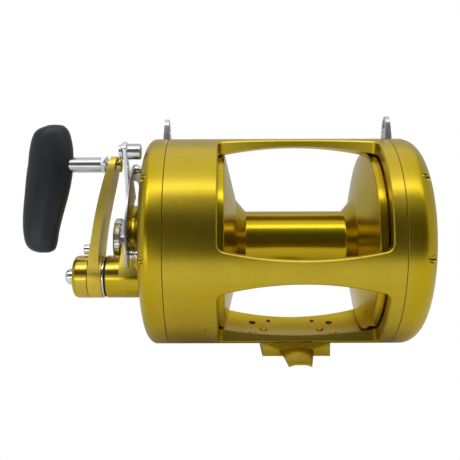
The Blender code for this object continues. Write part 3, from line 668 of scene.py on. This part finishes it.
def frame_shell(skin_gold):
    """The one-piece frame, with its four windows and the holes in the bottom crossbar."""
    profile = [
        (BAR_INNER_END_R, SEAM_RIGHT),
        (BODY_R - SEAM_LIP, SEAM_RIGHT),
        (BODY_R, SEAM_RIGHT - SEAM_LIP),
        (BODY_R, SEAM_LEFT + SEAM_LIP),
        (BODY_R - SEAM_LIP, SEAM_LEFT),
        (CAVITY_R, SEAM_LEFT),
        (CAVITY_R, -70.0),
        (BAR_INNER_END_R, -68.0),
    ]
    for i in range(25):
        share = -1 + i / 12
        radius = BAR_INNER_MID_R - (BAR_INNER_MID_R - BAR_INNER_END_R) * share * share
        profile.append((radius, WINDOW_MID + WINDOW_HALF * share))
    bm = bmesh.new()
    spin(bm, profile)
    shell = link("frame_shell", bm)
    cutters = []
    for side, top, bottom in ((1, TOP_FRONT, BOTTOM_FRONT), (-1, TOP_REAR, BOTTOM_REAR)):
        cutters.append(window_cutter("window", top, UPPER_EDGE, side))
        cutters.append(window_cutter("window", LOWER_EDGE, bottom, side))
    for x, y, radius, bottom in BAR_HOLES:
        for side in (-1, 1):
            cutters.append(bar("hole", radius, (side * x, y, -70), (side * x, y, bottom)))
    y, z = from_top(BODY_R, 143.0)
    cutters.append(bar("weep_hole", 0.8, (-74.8, y * 0.97, z * 0.97), (-74.8, y * 1.05, z * 1.05)))
    combine(shell, cutters)
    smooth(shell.data)
    return finish_piece(shell, skin_gold, "body", "gold_anodised", "frame")


def socket_head(name, at, radius, x_open, x_back):
    """A screw head with a hexagonal socket in its open end."""
    edge = 0.5 if x_open > x_back else -0.5
    profile = [
        (0.0, x_open),
        (radius - 0.5, x_open),
        (radius, x_open - edge),
        (radius, x_back),
        (0.0, x_back),
    ]
    head = turned(name, profile, at, SMALL, 0.3)
    return combine(head, [hexagon("key", at, x_open, radius * 0.55)])


def side_plate(tag, profile, face, side, metal):
    """A side plate with screw pockets round its rounded corner, and the screws in them."""
    bm = bmesh.new()
    spin(bm, profile)
    plate = link(f"{tag}_plate_fine", bm)
    pockets = []
    for i, degrees in enumerate(PLATE_SCREW_ANGLES, 1):
        y, z = from_top(PLATE_SCREW_PLACE_R, degrees)
        node = f"{tag}_screw_{i}"
        back, front = ends(node) if side > 0 else reversed(ends(node))
        pockets.append(bar("pocket", POCKET_R, (back - side * 0.3, y, z), (face + side * 4, y, z)))
        head = socket_head(f"{node}_head", (y, z), 2.6, front, back)
        finish_piece(head, metal, "body", "gold_screws", node)
    return combine(plate, pockets)


# Flat of a side plate's face, hollow behind it, its lip, and where the rounded corners start
PLATE_FLAT_R = 70.0
PLATE_HOLLOW_R = 66.0
PLATE_LIP_R = BODY_R - 7
PLATE_THICK = 5
GEAR_CORNER_X = -116.5
FAR_CORNER_X = 87.8


def corner(start_x, face):
    """Quarter ellipse from a side plate's band to its flat face."""
    return quarter((PLATE_FLAT_R, start_x), (BODY_R - PLATE_FLAT_R, face - start_x), 24)


def side_plates(skin_gold, screw_gold):
    """Both side plates, each a shallow bowl with a rounded corner."""
    face, band = ends("gear_side_plate")
    back = face + PLATE_THICK
    profile = [(PLATE_LIP_R, band), (BODY_R - SEAM_LIP, band), (BODY_R, band - SEAM_LIP)]
    profile += corner(GEAR_CORNER_X, face)
    profile += [(6.0, face), (6.0, back), (PLATE_HOLLOW_R, back), (PLATE_LIP_R, GEAR_CORNER_X + 3)]
    plate = side_plate("gear_side", profile, face, -1, screw_gold)
    combine(plate, [bar("shaft_hole", 5.6, (face - 3, *HANDLE), (face + 8, *HANDLE))])
    smooth(plate.data)
    finish_piece(plate, skin_gold, "body", "gold_anodised", "gear_side_plate")

    band, face = ends("far_side_plate")
    back, boss_end = face - PLATE_THICK, face - 16
    profile = [(5.6, face - 1.2), (61.4, face - 1.2), (62.0, face - 0.9), (62.6, face - 0.2), (63.2, face)]
    profile += list(reversed(corner(FAR_CORNER_X, face)))
    profile += [(BODY_R, band + SEAM_LIP), (BODY_R - SEAM_LIP, band), (PLATE_LIP_R, band)]
    profile += [(PLATE_LIP_R, FAR_CORNER_X), (PLATE_HOLLOW_R, back)]
    profile += [(14.0, back), (14.0, boss_end), (5.6, boss_end)]
    plate = side_plate("far_side", profile, face, 1, screw_gold)
    y, z = middle_at("clicker_button")
    combine(plate, [block("slot", (90, y - 2.9, z - 2.9), (110, y + 2.9, z + 8.2))])
    smooth(plate.data)
    finish_piece(plate, skin_gold, "body", "gold_anodised", "far_side_plate")


# ---------------------------------------------------------------- spool

def spool(metal):
    """The spool, with filleted flange roots and turned steps on its rims."""
    rim_r, lip_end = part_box("spool")[1].y / MM, ends("spool")[1]
    half_out, lip_r = 63.0, 62.0
    outer = [
        (lip_r, half_out),
        (lip_r, lip_end),
        (rim_r - 0.6, lip_end),
        (rim_r, lip_end - 0.6),
        (rim_r, half_out - 2.9),
        (rim_r - 0.5, half_out - 3.5),
        (35.6, 50.0),
        (25.6, 41.7),
    ]
    inner = [(radius, -x) for radius, x in reversed(outer)]
    pocket, deep, bore = 9.7, half_out - 6.0, 6.6
    profile = [(pocket, half_out)] + outer + inner + [(pocket, -half_out), (pocket, -deep), (bore, -deep)]
    profile += [(bore, deep), (pocket, deep)]
    bm = bmesh.new()
    spin(bm, soften(profile, 1.1, 4))
    thing = link("spool_fine", bm, 25)
    return finish_piece(thing, metal, "spool", "gold_anodised", "spool")


# ---------------------------------------------------------------- handle side

HOUSING_R = 17.6
LEVER_HUB_R = 31.7
HANDLE_BORE_R = 5.3


def gear_case(metal):
    """The housing that carries the handle shaft: a barrel on a boss, scooped out for the lever's hub."""
    mouth, base = ends("gear_case")
    boss_end, boss_top, inset = -145.5, -0.8, 0.05
    outline = arc(HANDLE, HOUSING_R - inset, 180, 360, 48)
    outline += [(HANDLE.x + HOUSING_R, HANDLE.y + 6), (-20.0, boss_top)]
    outline.append((HANDLE.x - HOUSING_R + inset, boss_top))
    case = slab("gear_case_fine", [outline], boss_end, base)
    slant = [(-150.0, -21.8), (boss_end, -21.8), (-141.9, 0.5), (-150.0, 0.5)]
    combine(case, [lofted("slant", [[(x, y, z) for x, z in slant] for y in (-70.0, 30.0)])])
    profile = [(0.0, base - 1.5), (HOUSING_R, base - 1.5), (HOUSING_R, mouth), (0.0, mouth)]
    combine(case, [turned("barrel", profile, HANDLE)], "UNION")
    scoop = bar("scoop", LEVER_HUB_R + 0.5, (boss_end - 0.4, 0, 0), (-120, 0, 0), FINE)
    seat = bar("seat", 11.0, (-170, *HANDLE), (-149, *HANDLE), ROUND)
    combine(case, [scoop, bar("bore", HANDLE_BORE_R, (-170, *HANDLE), (-120, *HANDLE)), seat])
    bevel(case, 0.35)
    return finish_piece(case, metal, "body", "gold_anodised", "gear_case")


def handle_arm(metal):
    """The crank arm with its hub, narrower towards the tip."""
    # Height from the spool axis, outer and inner face, half width
    stations = [
        (-29.0, -170.9, -162.4, 17.0),
        (-10.0, -169.8, -161.6, 17.3),
        (4.6, -167.4, -160.0, 17.4),
        (17.6, -165.3, -158.1, 17.4),
        (34.0, -162.0, -154.9, 17.0),
        (50.0, -158.1, -151.3, 16.0),
        (62.5, -154.7, -148.8, 14.2),
        (67.5, -153.4, -148.0, 11.8),
        (70.4, -152.6, -147.8, 8.0),
    ]
    sections = []
    for z, outer, inner, half in refine(stations, 4):
        sections.append([(outer, HANDLE.x - half, z), (outer, HANDLE.x + half, z),
                         (inner, HANDLE.x + half, z), (inner, HANDLE.x - half, z)])
    arm = lofted("handle_arm_fine", sections, 25)
    hub_profile = [(0.0, -159.9), (HOUSING_R, -159.9), (HOUSING_R, -171.2), (0.0, -171.2)]
    combine(arm, [turned("hub", hub_profile, HANDLE, ROUND, 0.3)], "UNION")
    cuts = [bar("bore", HANDLE_BORE_R, (-180, *HANDLE), (-150, *HANDLE)),
            bar("eye", 4.3, (-180, HANDLE.x, SPINDLE.y), (-130, HANDLE.x, SPINDLE.y))]
    combine(arm, cuts)
    bevel(arm, 0.6, 3)
    return finish_piece(arm, metal, "handle", "gold_anodised", "handle_arm")


def hub_parts(metal, bright, screw_gold, steel):
    """Cap, collar, shift button and screw on the crank's hub, and the spindle with its nut."""
    (low, high), round_r = ends("handle_hub_cap"), 4.2
    profile = [(7.3, high), (HOUSING_R - 0.4, high), (HOUSING_R, high - 0.4)]
    profile += quarter((HOUSING_R - round_r, low + round_r), (round_r, -round_r), 12)
    profile += [(8.1, low), (7.3, low + 0.8)]
    turned_piece("handle_hub_cap", profile, HANDLE, metal, "handle", "gold_anodised", FINE, 0.0)

    (low, high), collar_r = ends("chrome_collar"), HOUSING_R - 0.2
    profile = [(HANDLE_BORE_R, high), (collar_r, high), (collar_r, low), (HANDLE_BORE_R, low)]
    turned_piece("chrome_collar", profile, HANDLE, bright, "handle", "chrome", FINE, 0.35)

    tip, dome_x = ends("shift_button")[0], -189.3
    profile = [(0.0, -108.0), (2.2, -108.0), (2.2, -181.0), (6.7, -181.0), (6.7, -188.5), (6.4, -188.8)]
    profile += quarter((0.0, dome_x), (6.2, tip - dome_x), 10)[:-1] + [(0.0, tip)]
    turned_piece("shift_button", profile, HANDLE, bright, "shifter", "chrome", width=0.0)

    screw = socket_head("arm_screw_fine", middle_at("arm_screw"), 4.2, *ends("arm_screw"))
    finish_piece(screw, bright, "handle", "chrome", "arm_screw")

    profile = [(0.0, -146.9), (3.9, -146.9), (3.9, -156.9), (7.0, -156.9), (7.0, -157.6), (6.0, -158.0)]
    profile += [(6.0, -161.2), (6.3, -162.0), (6.3, -189.0), (4.2, -191.0), (4.2, -222.0), (0.0, -222.0)]
    spindle = turned("grip_spindle_fine", profile, SPINDLE, ROUND, 0.25)
    combine(spindle, [hexagon("hexagon", SPINDLE, -159.6, 7.2)], "UNION")
    finish_piece(spindle, steel, "handle", "steel", "grip_spindle")

    low, high = ends("spindle_nut")
    profile = [(4.2, high), (6.2, high), (6.2, low), (4.2, low)]
    turned_piece("spindle_nut", profile, SPINDLE, screw_gold, "handle", "gold_screws", width=0.4)


def grip(material):
    """The black grip, a long rounded wedge with a slanting crown."""
    # Height from the spool axis, outer and inner end, half depth
    stations = [
        (-8.9, -214.6, -206.0, 5.0),
        (-6.6, -221.0, -201.5, 8.4),
        (-1.0, -225.5, -199.3, 10.6),
        (10.0, -227.5, -197.5, 11.8),
        (24.0, -227.5, -194.0, 12.6),
        (40.0, -226.1, -189.6, 13.2),
        (54.0, -224.8, -186.9, 13.5),
        (66.0, -223.2, -185.8, 13.5),
        (78.0, -221.8, -186.0, 12.9),
        (88.0, -219.3, -187.8, 11.6),
        (93.5, -215.2, -190.0, 9.8),
        (97.0, -207.0, -193.5, 6.0),
    ]
    sections = []
    for z, outer, inner, half in refine(stations, 5):
        centre, wide = (outer + inner) / 2, (inner - outer) / 2
        section = []
        for i in range(64):
            turn = 2 * math.pi * i / 64
            section.append((centre + wide * math.cos(turn), HANDLE.x + half * math.sin(turn), z))
        sections.append(section)
    thing = lofted("grip_fine", sections, 50)
    combine(thing, [bar("bore", 4.6, (-224, *SPINDLE), (-180, *SPINDLE)),
                    bar("mouth", 6.7, (-191.4, *SPINDLE), (-180, *SPINDLE))])
    smooth(thing.data, 50)
    return finish_piece(thing, material, "grip", "black_grip", "grip")


# ---------------------------------------------------------------- drag lever, preset knob and quadrant

def knurled(name, at, radius, x_low, x_high, depth, teeth, chamfer, grooves=0, bore=0.0):
    """A knurled drum with real diamonds, and smooth grooves along it if it has any."""
    groove_r = 2.4
    pitch = 2 * math.pi * radius / teeth
    rows = max(4, round((x_high - x_low - 2 * chamfer) / (pitch / 2)))
    steps = teeth * 2
    bm = bmesh.new()

    def rim(turn, depth_here):
        """Radius of the rim at an angle: a groove where one crosses, or the knurl."""
        if grooves:
            gap = 2 * math.pi / grooves
            off = (turn + gap / 2) % gap - gap / 2
            centre = radius + groove_r * 0.58
            across = centre * math.sin(off)
            if abs(across) < groove_r:
                dip = centre * math.cos(off) - math.sqrt(groove_r ** 2 - across ** 2)
                if dip < radius:
                    return dip
            if abs(off) * radius < groove_r * 1.35:
                return radius
        return radius - depth_here

    # Place, inset, and which teeth are low: none (0), odd (2) or even (1)
    levels = [(x_high, -chamfer, 0)]
    for row in range(rows + 1):
        x = x_high - chamfer - (x_high - x_low - 2 * chamfer) * row / rows
        levels.append((x, 0.0, 1 if row % 2 else 2))
    levels.append((x_low, -chamfer, 0))
    rings = []
    for x, inset, kind in levels:
        dips = [depth if kind and (i + kind) % 2 else 0.0 for i in range(steps)]
        radii = [rim(2 * math.pi * i / steps, dip) + inset for i, dip in enumerate(dips)]
        rings.append(ring(bm, x, at, radii))
    if bore:
        first, last = [ring(bm, x, at, [bore] * steps) for x in (x_high, x_low)]
        rings = [first, *rings, last, first]
    for low, high in zip(rings, rings[1:]):
        for i in range(steps):
            j = (i + 1) % steps
            bm.faces.new((low[i], high[i], high[j], low[j]))
    if not bore:
        bm.faces.new(rings[0])
        bm.faces.new(list(reversed(rings[-1])))
    return link(name, bm, 28)


def drag_lever(bright, satin):
    """The lever: a domed hub with a slim tapering blade, its knob and the knurled sleeve behind."""
    x_out, x_in = -141.2, -138.2
    hub_profile = [(6.0, x_in), (LEVER_HUB_R, x_in), (LEVER_HUB_R, x_in - 1.4)]
    for i in range(9):
        share = i / 8
        hub_profile.append((24.0 - 14.0 * share, -141.4 - 1.6 * math.sin(share * math.pi / 2)))
    hub_profile.append((6.0, -143.0))
    lever = turned("drag_lever_fine", hub_profile, SPOOL, FINE, 0.3)
    along = KNOB.normalized()
    across = Vector((along.y, -along.x))
    reach, heading = KNOB.length, math.degrees(math.atan2(along.y, along.x))
    side = refine([(0.28, 11.0), (0.45, 8.6), (0.6, 7.0), (0.75, 6.2), (0.9, 5.8)], 4)
    outline = [tuple(along * reach * share + across * half) for share, half in side]
    outline += arc(KNOB, 7.7, heading - 50, heading + 50, 24)
    outline += [tuple(along * reach * share - across * half) for share, half in reversed(side)]
    blade = slab("blade", [outline, circle(3.4, KNOB)], x_out, x_in - 0.2)
    combine(lever, [blade], "UNION")
    bevel(lever, 0.5, 3)
    finish_piece(lever, bright, "drag_lever", "chrome", "drag_lever")

    low, high = ends("lever_knob")
    profile = [(0.0, high), (3.0, high), (3.0, -141.5), (6.9, -141.5), (6.9, -142.6), (5.8, -143.1)]
    profile += [(5.8, low + 0.5), (5.2, low), (0.0, low)]
    turned_piece("lever_knob", profile, KNOB, bright, "drag_lever", "chrome", width=0.25)
    low, high = ends("lever_knob_sleeve")
    sleeve = knurled("lever_knob_sleeve_fine", KNOB, 6.4, low, high, 0.45, 26, 0.6, bore=3.3)
    finish_piece(sleeve, satin, "drag_lever", "chrome", "lever_knob_sleeve")


def preset_knob(satin):
    """The preset knob: a knurled, grooved disc on a neck."""
    low, high = ends("preset_knob")
    drum = knurled("preset_knob_fine", SPOOL, 20.0, low, -147.6, 0.4, 84, 1.2, grooves=8)
    profile = [(5.6, high), (9.0, high), (9.0, -148.2), (5.6, -148.2)]
    combine(drum, [turned("neck", profile, width=0.2)], "UNION")
    smooth(drum.data, 28)
    return finish_piece(drum, satin, "preset_knob", "chrome", "preset_knob")


POSTS = ["quadrant_post_1", "quadrant_post_2", "quadrant_post_3"]


def quadrant(steel, bright):
    """The lever quadrant with its notched rim, on three turned posts."""
    outline = arc(middle_at(POSTS[0]), 10.6, 280, 190.4, 24)
    outline += arc(SPOOL, 66.5, 189.0, 18.0, 120)
    outline += arc(SPOOL, 53.0, 15.0, 78.6, 48)
    outline += [(-10.6, 51.9), (-10.6, 37.0)]
    outline += arc(SPOOL, 38.5, 112.0, 176.0, 48)
    outline += [(-44.8, 3.0), (-44.6, -8.0)]
    plate = slab("quadrant_plate_fine", [outline], *ends("quadrant_plate"))
    bevel(plate, 0.4)
    finish_piece(plate, steel, "body", "steel", "quadrant_plate")
    for node in POSTS:
        low, high = ends(node)
        profile = [(0.0, high), (3.7, high), (3.7, low + 5.2), (3.1, low + 4.6), (3.1, low + 3.6)]
        profile += [(3.7, low + 3.0), (3.7, low), (0.0, low)]
        turned_piece(node, profile, middle_at(node), bright, "body", "chrome", width=0.3)


# ---------------------------------------------------------------- lugs, foot and small parts

def lug(node, steel):
    """A harness lug: a tapering blade with an oval eye, standing on the side plate's band."""
    x = sum(ends(node)) / 2
    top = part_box(node)[1].z / MM - AXIS_Z
    wide, foot_r = 9.0, BODY_R + 0.3
    outline = []
    for i in range(13):
        y = -wide + 2 * wide * i / 12
        outline.append((y, math.sqrt(foot_r ** 2 - y * y)))
    outline += arc((0.0, top - 7.6), 7.6, 0, 180, 36)
    eye = []
    for i in range(SMALL):
        turn = 2 * math.pi * i / SMALL
        eye.append((4.6 * math.cos(turn), top - 8.6 + 5.4 * math.sin(turn)))
    thing = slab(f"{node}_fine", [outline, eye], x - 2.8, x + 2.8)
    for vertex in thing.data.vertices:
        rise = (vertex.co.z / MM - AXIS_Z - BODY_R) / (top - BODY_R)
        vertex.co.x += (x * MM - vertex.co.x) * 0.4 * rise
    bevel(thing, 0.6, 3)
    return finish_piece(thing, steel, "body", "chrome", node)


def foot_section(y, half, under_half, top, crown):
    """One cross-section of the foot: a crowned top, and a flat land in the middle of a hollow underside."""
    land, saddle_r = 4.0, 20.0
    points = []
    for i in range(9):
        x = -under_half + (under_half - land) * i / 8
        points.append((x, y, -AXIS_Z - (x * x - land * land) / (2 * saddle_r)))
    points += [(-x, y, z) for x, y, z in reversed(points)]
    for i in range(13):
        share = 1 - i / 6
        points.append((half * share, y, top - crown * share * share))
    return points


def foot(metal, screw_gold):
    """The rod foot, with its two screws and two stud plugs in the bottom crossbar."""
    # Place along the foot, half width, half width underneath, top, crown
    front = [
        (-62.0, 8.6, 8.6, -94.0, 0.9),
        (-60.4, 9.4, 9.2, -93.6, 1.2),
        (-27.5, 14.4, 9.5, -87.8, 3.4),
        (-20.0, 14.6, 9.5, -87.4, 3.4),
    ]
    rear = [(y_place, *rest) for y_place, (_, *rest) in zip((23.0, 30.5, 60.4, 62.0), reversed(front))]
    thing = lofted("reel_foot_fine", [foot_section(*row) for row in front + rear])
    combine(thing, [block("block", (-28.2, -26.0, -95.7), (28.2, 29.0, -82.0))], "UNION")
    cuts = [bar("bed", BODY_R + 0.3, (-60, 0, 0), (60, 0, 0), FINE)]
    for side in (-1, 1):
        x = side * FOOT_SCREW[0]
        cuts.append(bar("foot_hole", 2.3, (x, FOOT_SCREW[1], -80), (x, FOOT_SCREW[1], -95)))
    combine(thing, cuts)
    bevel(thing, 0.5, 3)
    finish_piece(thing, metal, "body", "gold_anodised", "reel_foot")
    for label, (x, y) in (("foot_screw", FOOT_SCREW), ("stud_plug", STUD_PLUG)):
        for side, tag in ((-1, "left"), (1, "right")):
            upright_screw(f"{label}_{tag}", (side * x, y), screw_gold)


def upright_screw(node, at, metal):
    """A dome-headed screw standing in the bottom crossbar, head up."""
    low, high = [corner.z / MM - AXIS_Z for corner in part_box(node)]
    head_r, dome, neck = 3.2, 2.0, high - 2.6
    profile = [(0.0, high)] + quarter((0.0, high - dome), (head_r, dome), 9)[-2::-1]
    profile += [(head_r, neck), (2.0, neck), (2.0, low + 0.4), (1.6, low), (0.0, low)]
    bm = bmesh.new()
    spin(bm, profile, steps=SMALL)
    bmesh.ops.transform(bm, matrix=Matrix.Rotation(-math.pi / 2, 4, "Y"), verts=bm.verts)
    bmesh.ops.translate(bm, vec=(*at, 0.0), verts=bm.verts)
    screw = link(f"{node}_fine", bm)
    return finish_piece(screw, metal, "body", "gold_screws", node)


def small_parts(metal, bright):
    """The cam hub, the bearing cap on the far side and the clicker button."""
    low, high = ends("cam_hub")
    profile = [(6.0, high), (31.0, high), (31.0, low), (6.0, low)]
    turned_piece("cam_hub", profile, SPOOL, metal, "body", "gold_anodised", FINE)

    low, high = ends("far_bearing_cap")
    profile = [(0.0, high - 0.5), (4.0, high - 0.5), (4.6, high), (14.6, high), (16.0, high - 0.7)]
    profile += [(16.0, low), (0.0, low)]
    turned_piece("far_bearing_cap", profile, SPOOL, metal, "body", "gold_anodised", FINE, 0.2)

    low, high = ends("clicker_button")
    neck = high - 4.6
    profile = [(0.0, high), (4.8, high), (6.0, high - 1.0), (6.0, neck), (2.5, neck), (2.5, low), (0.0, low)]
    at = middle_at("clicker_button")
    turned_piece("clicker_button", profile, at, bright, "clicker", "chrome", width=0.3)


# ---------------------------------------------------------------- studio

def studio():
    """Softboxes in white surroundings, a floor that the camera doesn't see, and dark cards for the gloss."""
    scene = bpy.context.scene
    scene.view_settings.view_transform = "Standard"
    world = bpy.data.worlds.new("studio")
    world.use_nodes = True
    nodes, links = world.node_tree.nodes, world.node_tree.links
    around = nodes["Background"]
    around.inputs["Color"].default_value = (0.96, 0.98, 1.0, 1.0)
    around.inputs["Strength"].default_value = 0.53
    behind = nodes.new("ShaderNodeBackground")
    behind.inputs["Color"].default_value = (1.0, 1.0, 1.0, 1.0)
    path = nodes.new("ShaderNodeLightPath")
    mix = nodes.new("ShaderNodeMixShader")
    links.new(path.outputs["Is Camera Ray"], mix.inputs["Fac"])
    links.new(around.outputs[0], mix.inputs[1])
    links.new(behind.outputs[0], mix.inputs[2])
    links.new(mix.outputs[0], nodes["World Output"].inputs["Surface"])
    scene.world = world

    axis = AXIS_Z * MM
    softbox("key", (0.0, -0.62, axis + 0.86), (1.7, 0.34), 4.2)
    softbox("top", (0.0, 0.1, axis + 1.4), (2.0, 1.6), 3.6)

    low = min(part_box("reel_foot")[0].z, 0.0) - 0.0004
    floor = disc("floor", 3.0, low)
    floor.data.materials.append(paper("floor_paper"))
    floor.visible_camera = False
    cards = [((-0.185, low + 0.004), (0.45, axis + 0.40)), ((-0.60, axis + 0.03), (-0.186, axis + 0.23))]
    for low_corner, high_corner in cards:
        card = card_object("dark_card", -0.33, low_corner, high_corner)
        card.data.materials.append(felt("dark_felt"))
        for name in ("visible_camera", "visible_diffuse", "visible_shadow", "visible_transmission"):
            setattr(card, name, False)
    low_box = softbox("low", (-0.39, -0.34, axis - 0.072), (0.42, 0.05), 0.10)
    low_box.visible_camera = False


def softbox(name, at, size, power):
    """A rectangular light facing the spool axis."""
    data = bpy.data.lights.new(name, "AREA")
    data.shape = "RECTANGLE"
    data.size, data.size_y = size
    data.energy = power
    lamp = add_object(name, data)
    lamp.location = at
    back = Vector(at) - Vector((at[0], 0.0, AXIS_Z * MM))
    lamp.rotation_euler = back.to_track_quat("Z", "Y").to_euler()
    return lamp


def disc(name, radius, height):
    """A flat disc at a height in metres."""
    bm = bmesh.new()
    bmesh.ops.create_circle(bm, cap_ends=True, segments=FINE, radius=radius)
    mesh = bpy.data.meshes.new(name)
    bm.to_mesh(mesh)
    bm.free()
    thing = add_object(name, mesh)
    thing.location.z = height
    return thing


def card_object(name, y, low, high):
    """An upright card between two (x, z) corners, in metres."""
    mesh = bpy.data.meshes.new(name)
    points = [(low[0], y, low[1]), (high[0], y, low[1]), (high[0], y, high[1]), (low[0], y, high[1])]
    mesh.from_pydata(points, [], [(0, 1, 2, 3)])
    return add_object(name, mesh)


def paper(name):
    """White paper with a faint mottle, which fades out far away."""
    look = Look(name, (0.93, 0.93, 0.93), 0.75, 0.0)
    look.mottle(60.0, 4.0, (0.3, 0.7), 0.3, (0.90, 0.90, 0.905))
    look.relief(look.noise(1.2, 3.0), 0.02)
    distance = look.nodes.new("ShaderNodeVectorMath")
    distance.operation = "LENGTH"
    look.links.new(look.place, distance.inputs[0])
    look.links.new(look.remap(distance.outputs["Value"], 0.3, 1.3, 1.0, 0.0), look.shader.inputs["Alpha"])
    return look.done()


def felt(name):
    """Black felt."""
    look = Look(name, (0.09, 0.09, 0.09), 0.9, 0.0)
    look.relief(look.noise(0.8), 0.1)
    return look.done()


def camera():
    """The camera stands level in front of the reel, a little towards its handle."""
    data = bpy.data.cameras.new("camera")
    data.lens, data.sensor_width = 53.5, 36.0
    data.clip_start = 0.01
    eye = add_object("camera", data)
    place = Matrix.Translation((-0.0550, -0.5958, AXIS_Z * MM + 0.0095))
    level, roll = Matrix.Rotation(math.pi / 2, 4, "X"), Matrix.Rotation(-0.0028, 4, "Z")
    eye.matrix_world = place @ level @ roll
    bpy.context.scene.camera = eye


# ---------------------------------------------------------------- build

def dress(material, *nodes):
    """Give CAD nodes that keep their shape a material."""
    for node in nodes:
        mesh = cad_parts[node].data
        mesh.materials.clear()
        mesh.materials.append(material)


skin_gold = gold("satin_gold")
turned_gold = gold("turned_gold", 0.20, 0.002, 0.002, HANDLE)
hub_gold = gold("hub_gold", 0.20, 0.002, 0.002)
spool_gold = gold("spool_gold", 0.22, 0.002, 0.002)
# The arm's base colour is painted lighter than the other gold: a painted highlight for the brighter
# reflection its front face catches. Its rougher milled finish is its own.
arm_gold_painted_bright = milled_gold("arm_gold_painted_bright", (1.0, 1.0, 12.0), 0.42, (0.80, 0.60, 0.07))
foot_gold = milled_gold("foot_gold", (1.0, 8.0, 1.0))
screw_gold = gold("screw_gold", 0.16, 0.001, 0.0)
bright = chrome("chrome_bright")
satin_chrome = chrome("satin_chrome", 0.24)
spindle_steel = turned_metal("spindle_steel", (0.62, 0.62, 0.62), 0.22, SPINDLE)
plate_steel = brushed_steel("plate_steel", (1.0, 14.0, 1.0))
lug_steel = brushed_steel("lug_steel", (1.0, 1.0, 9.0), 0.38, (0.72, 0.72, 0.72))
inner_steel = turned_metal("inner_steel", (0.50, 0.50, 0.50), 0.28)
bronze = turned_metal("gear_bronze", (0.55, 0.36, 0.12), 0.30, HANDLE, (0.8, 0.6, 0.3))

frame_shell(skin_gold)
side_plates(skin_gold, screw_gold)
spool(spool_gold)
gear_case(turned_gold)
handle_arm(arm_gold_painted_bright)
hub_parts(turned_gold, bright, screw_gold, spindle_steel)
grip(black_grip("grip_black"))
drag_lever(bright, satin_chrome)
preset_knob(satin_chrome)
quadrant(plate_steel, bright)
lug("harness_lug_gear_side", lug_steel)
lug("harness_lug_far_side", lug_steel)
foot(foot_gold, screw_gold)
small_parts(hub_gold, bright)
dress(inner_steel, "spool_shaft", "drag_spring_washers", "spool_bearing_gear_side", "spool_bearing_far_side",
      "handle_bearing", "handle_shaft", "pressure_plate", "click_ratchet", "clicker_pawl",
      "anti_reverse_ratchet", "anti_reverse_dog_1", "anti_reverse_dog_2", "dog_pin_1", "dog_pin_2")
dress(bronze, "pinion_cluster", "high_gear", "low_gear")
dress(carbon("carbon_weave"), "drag_disc")
dress(rubber("seal_black"), "housing_seal")
studio()
camera()
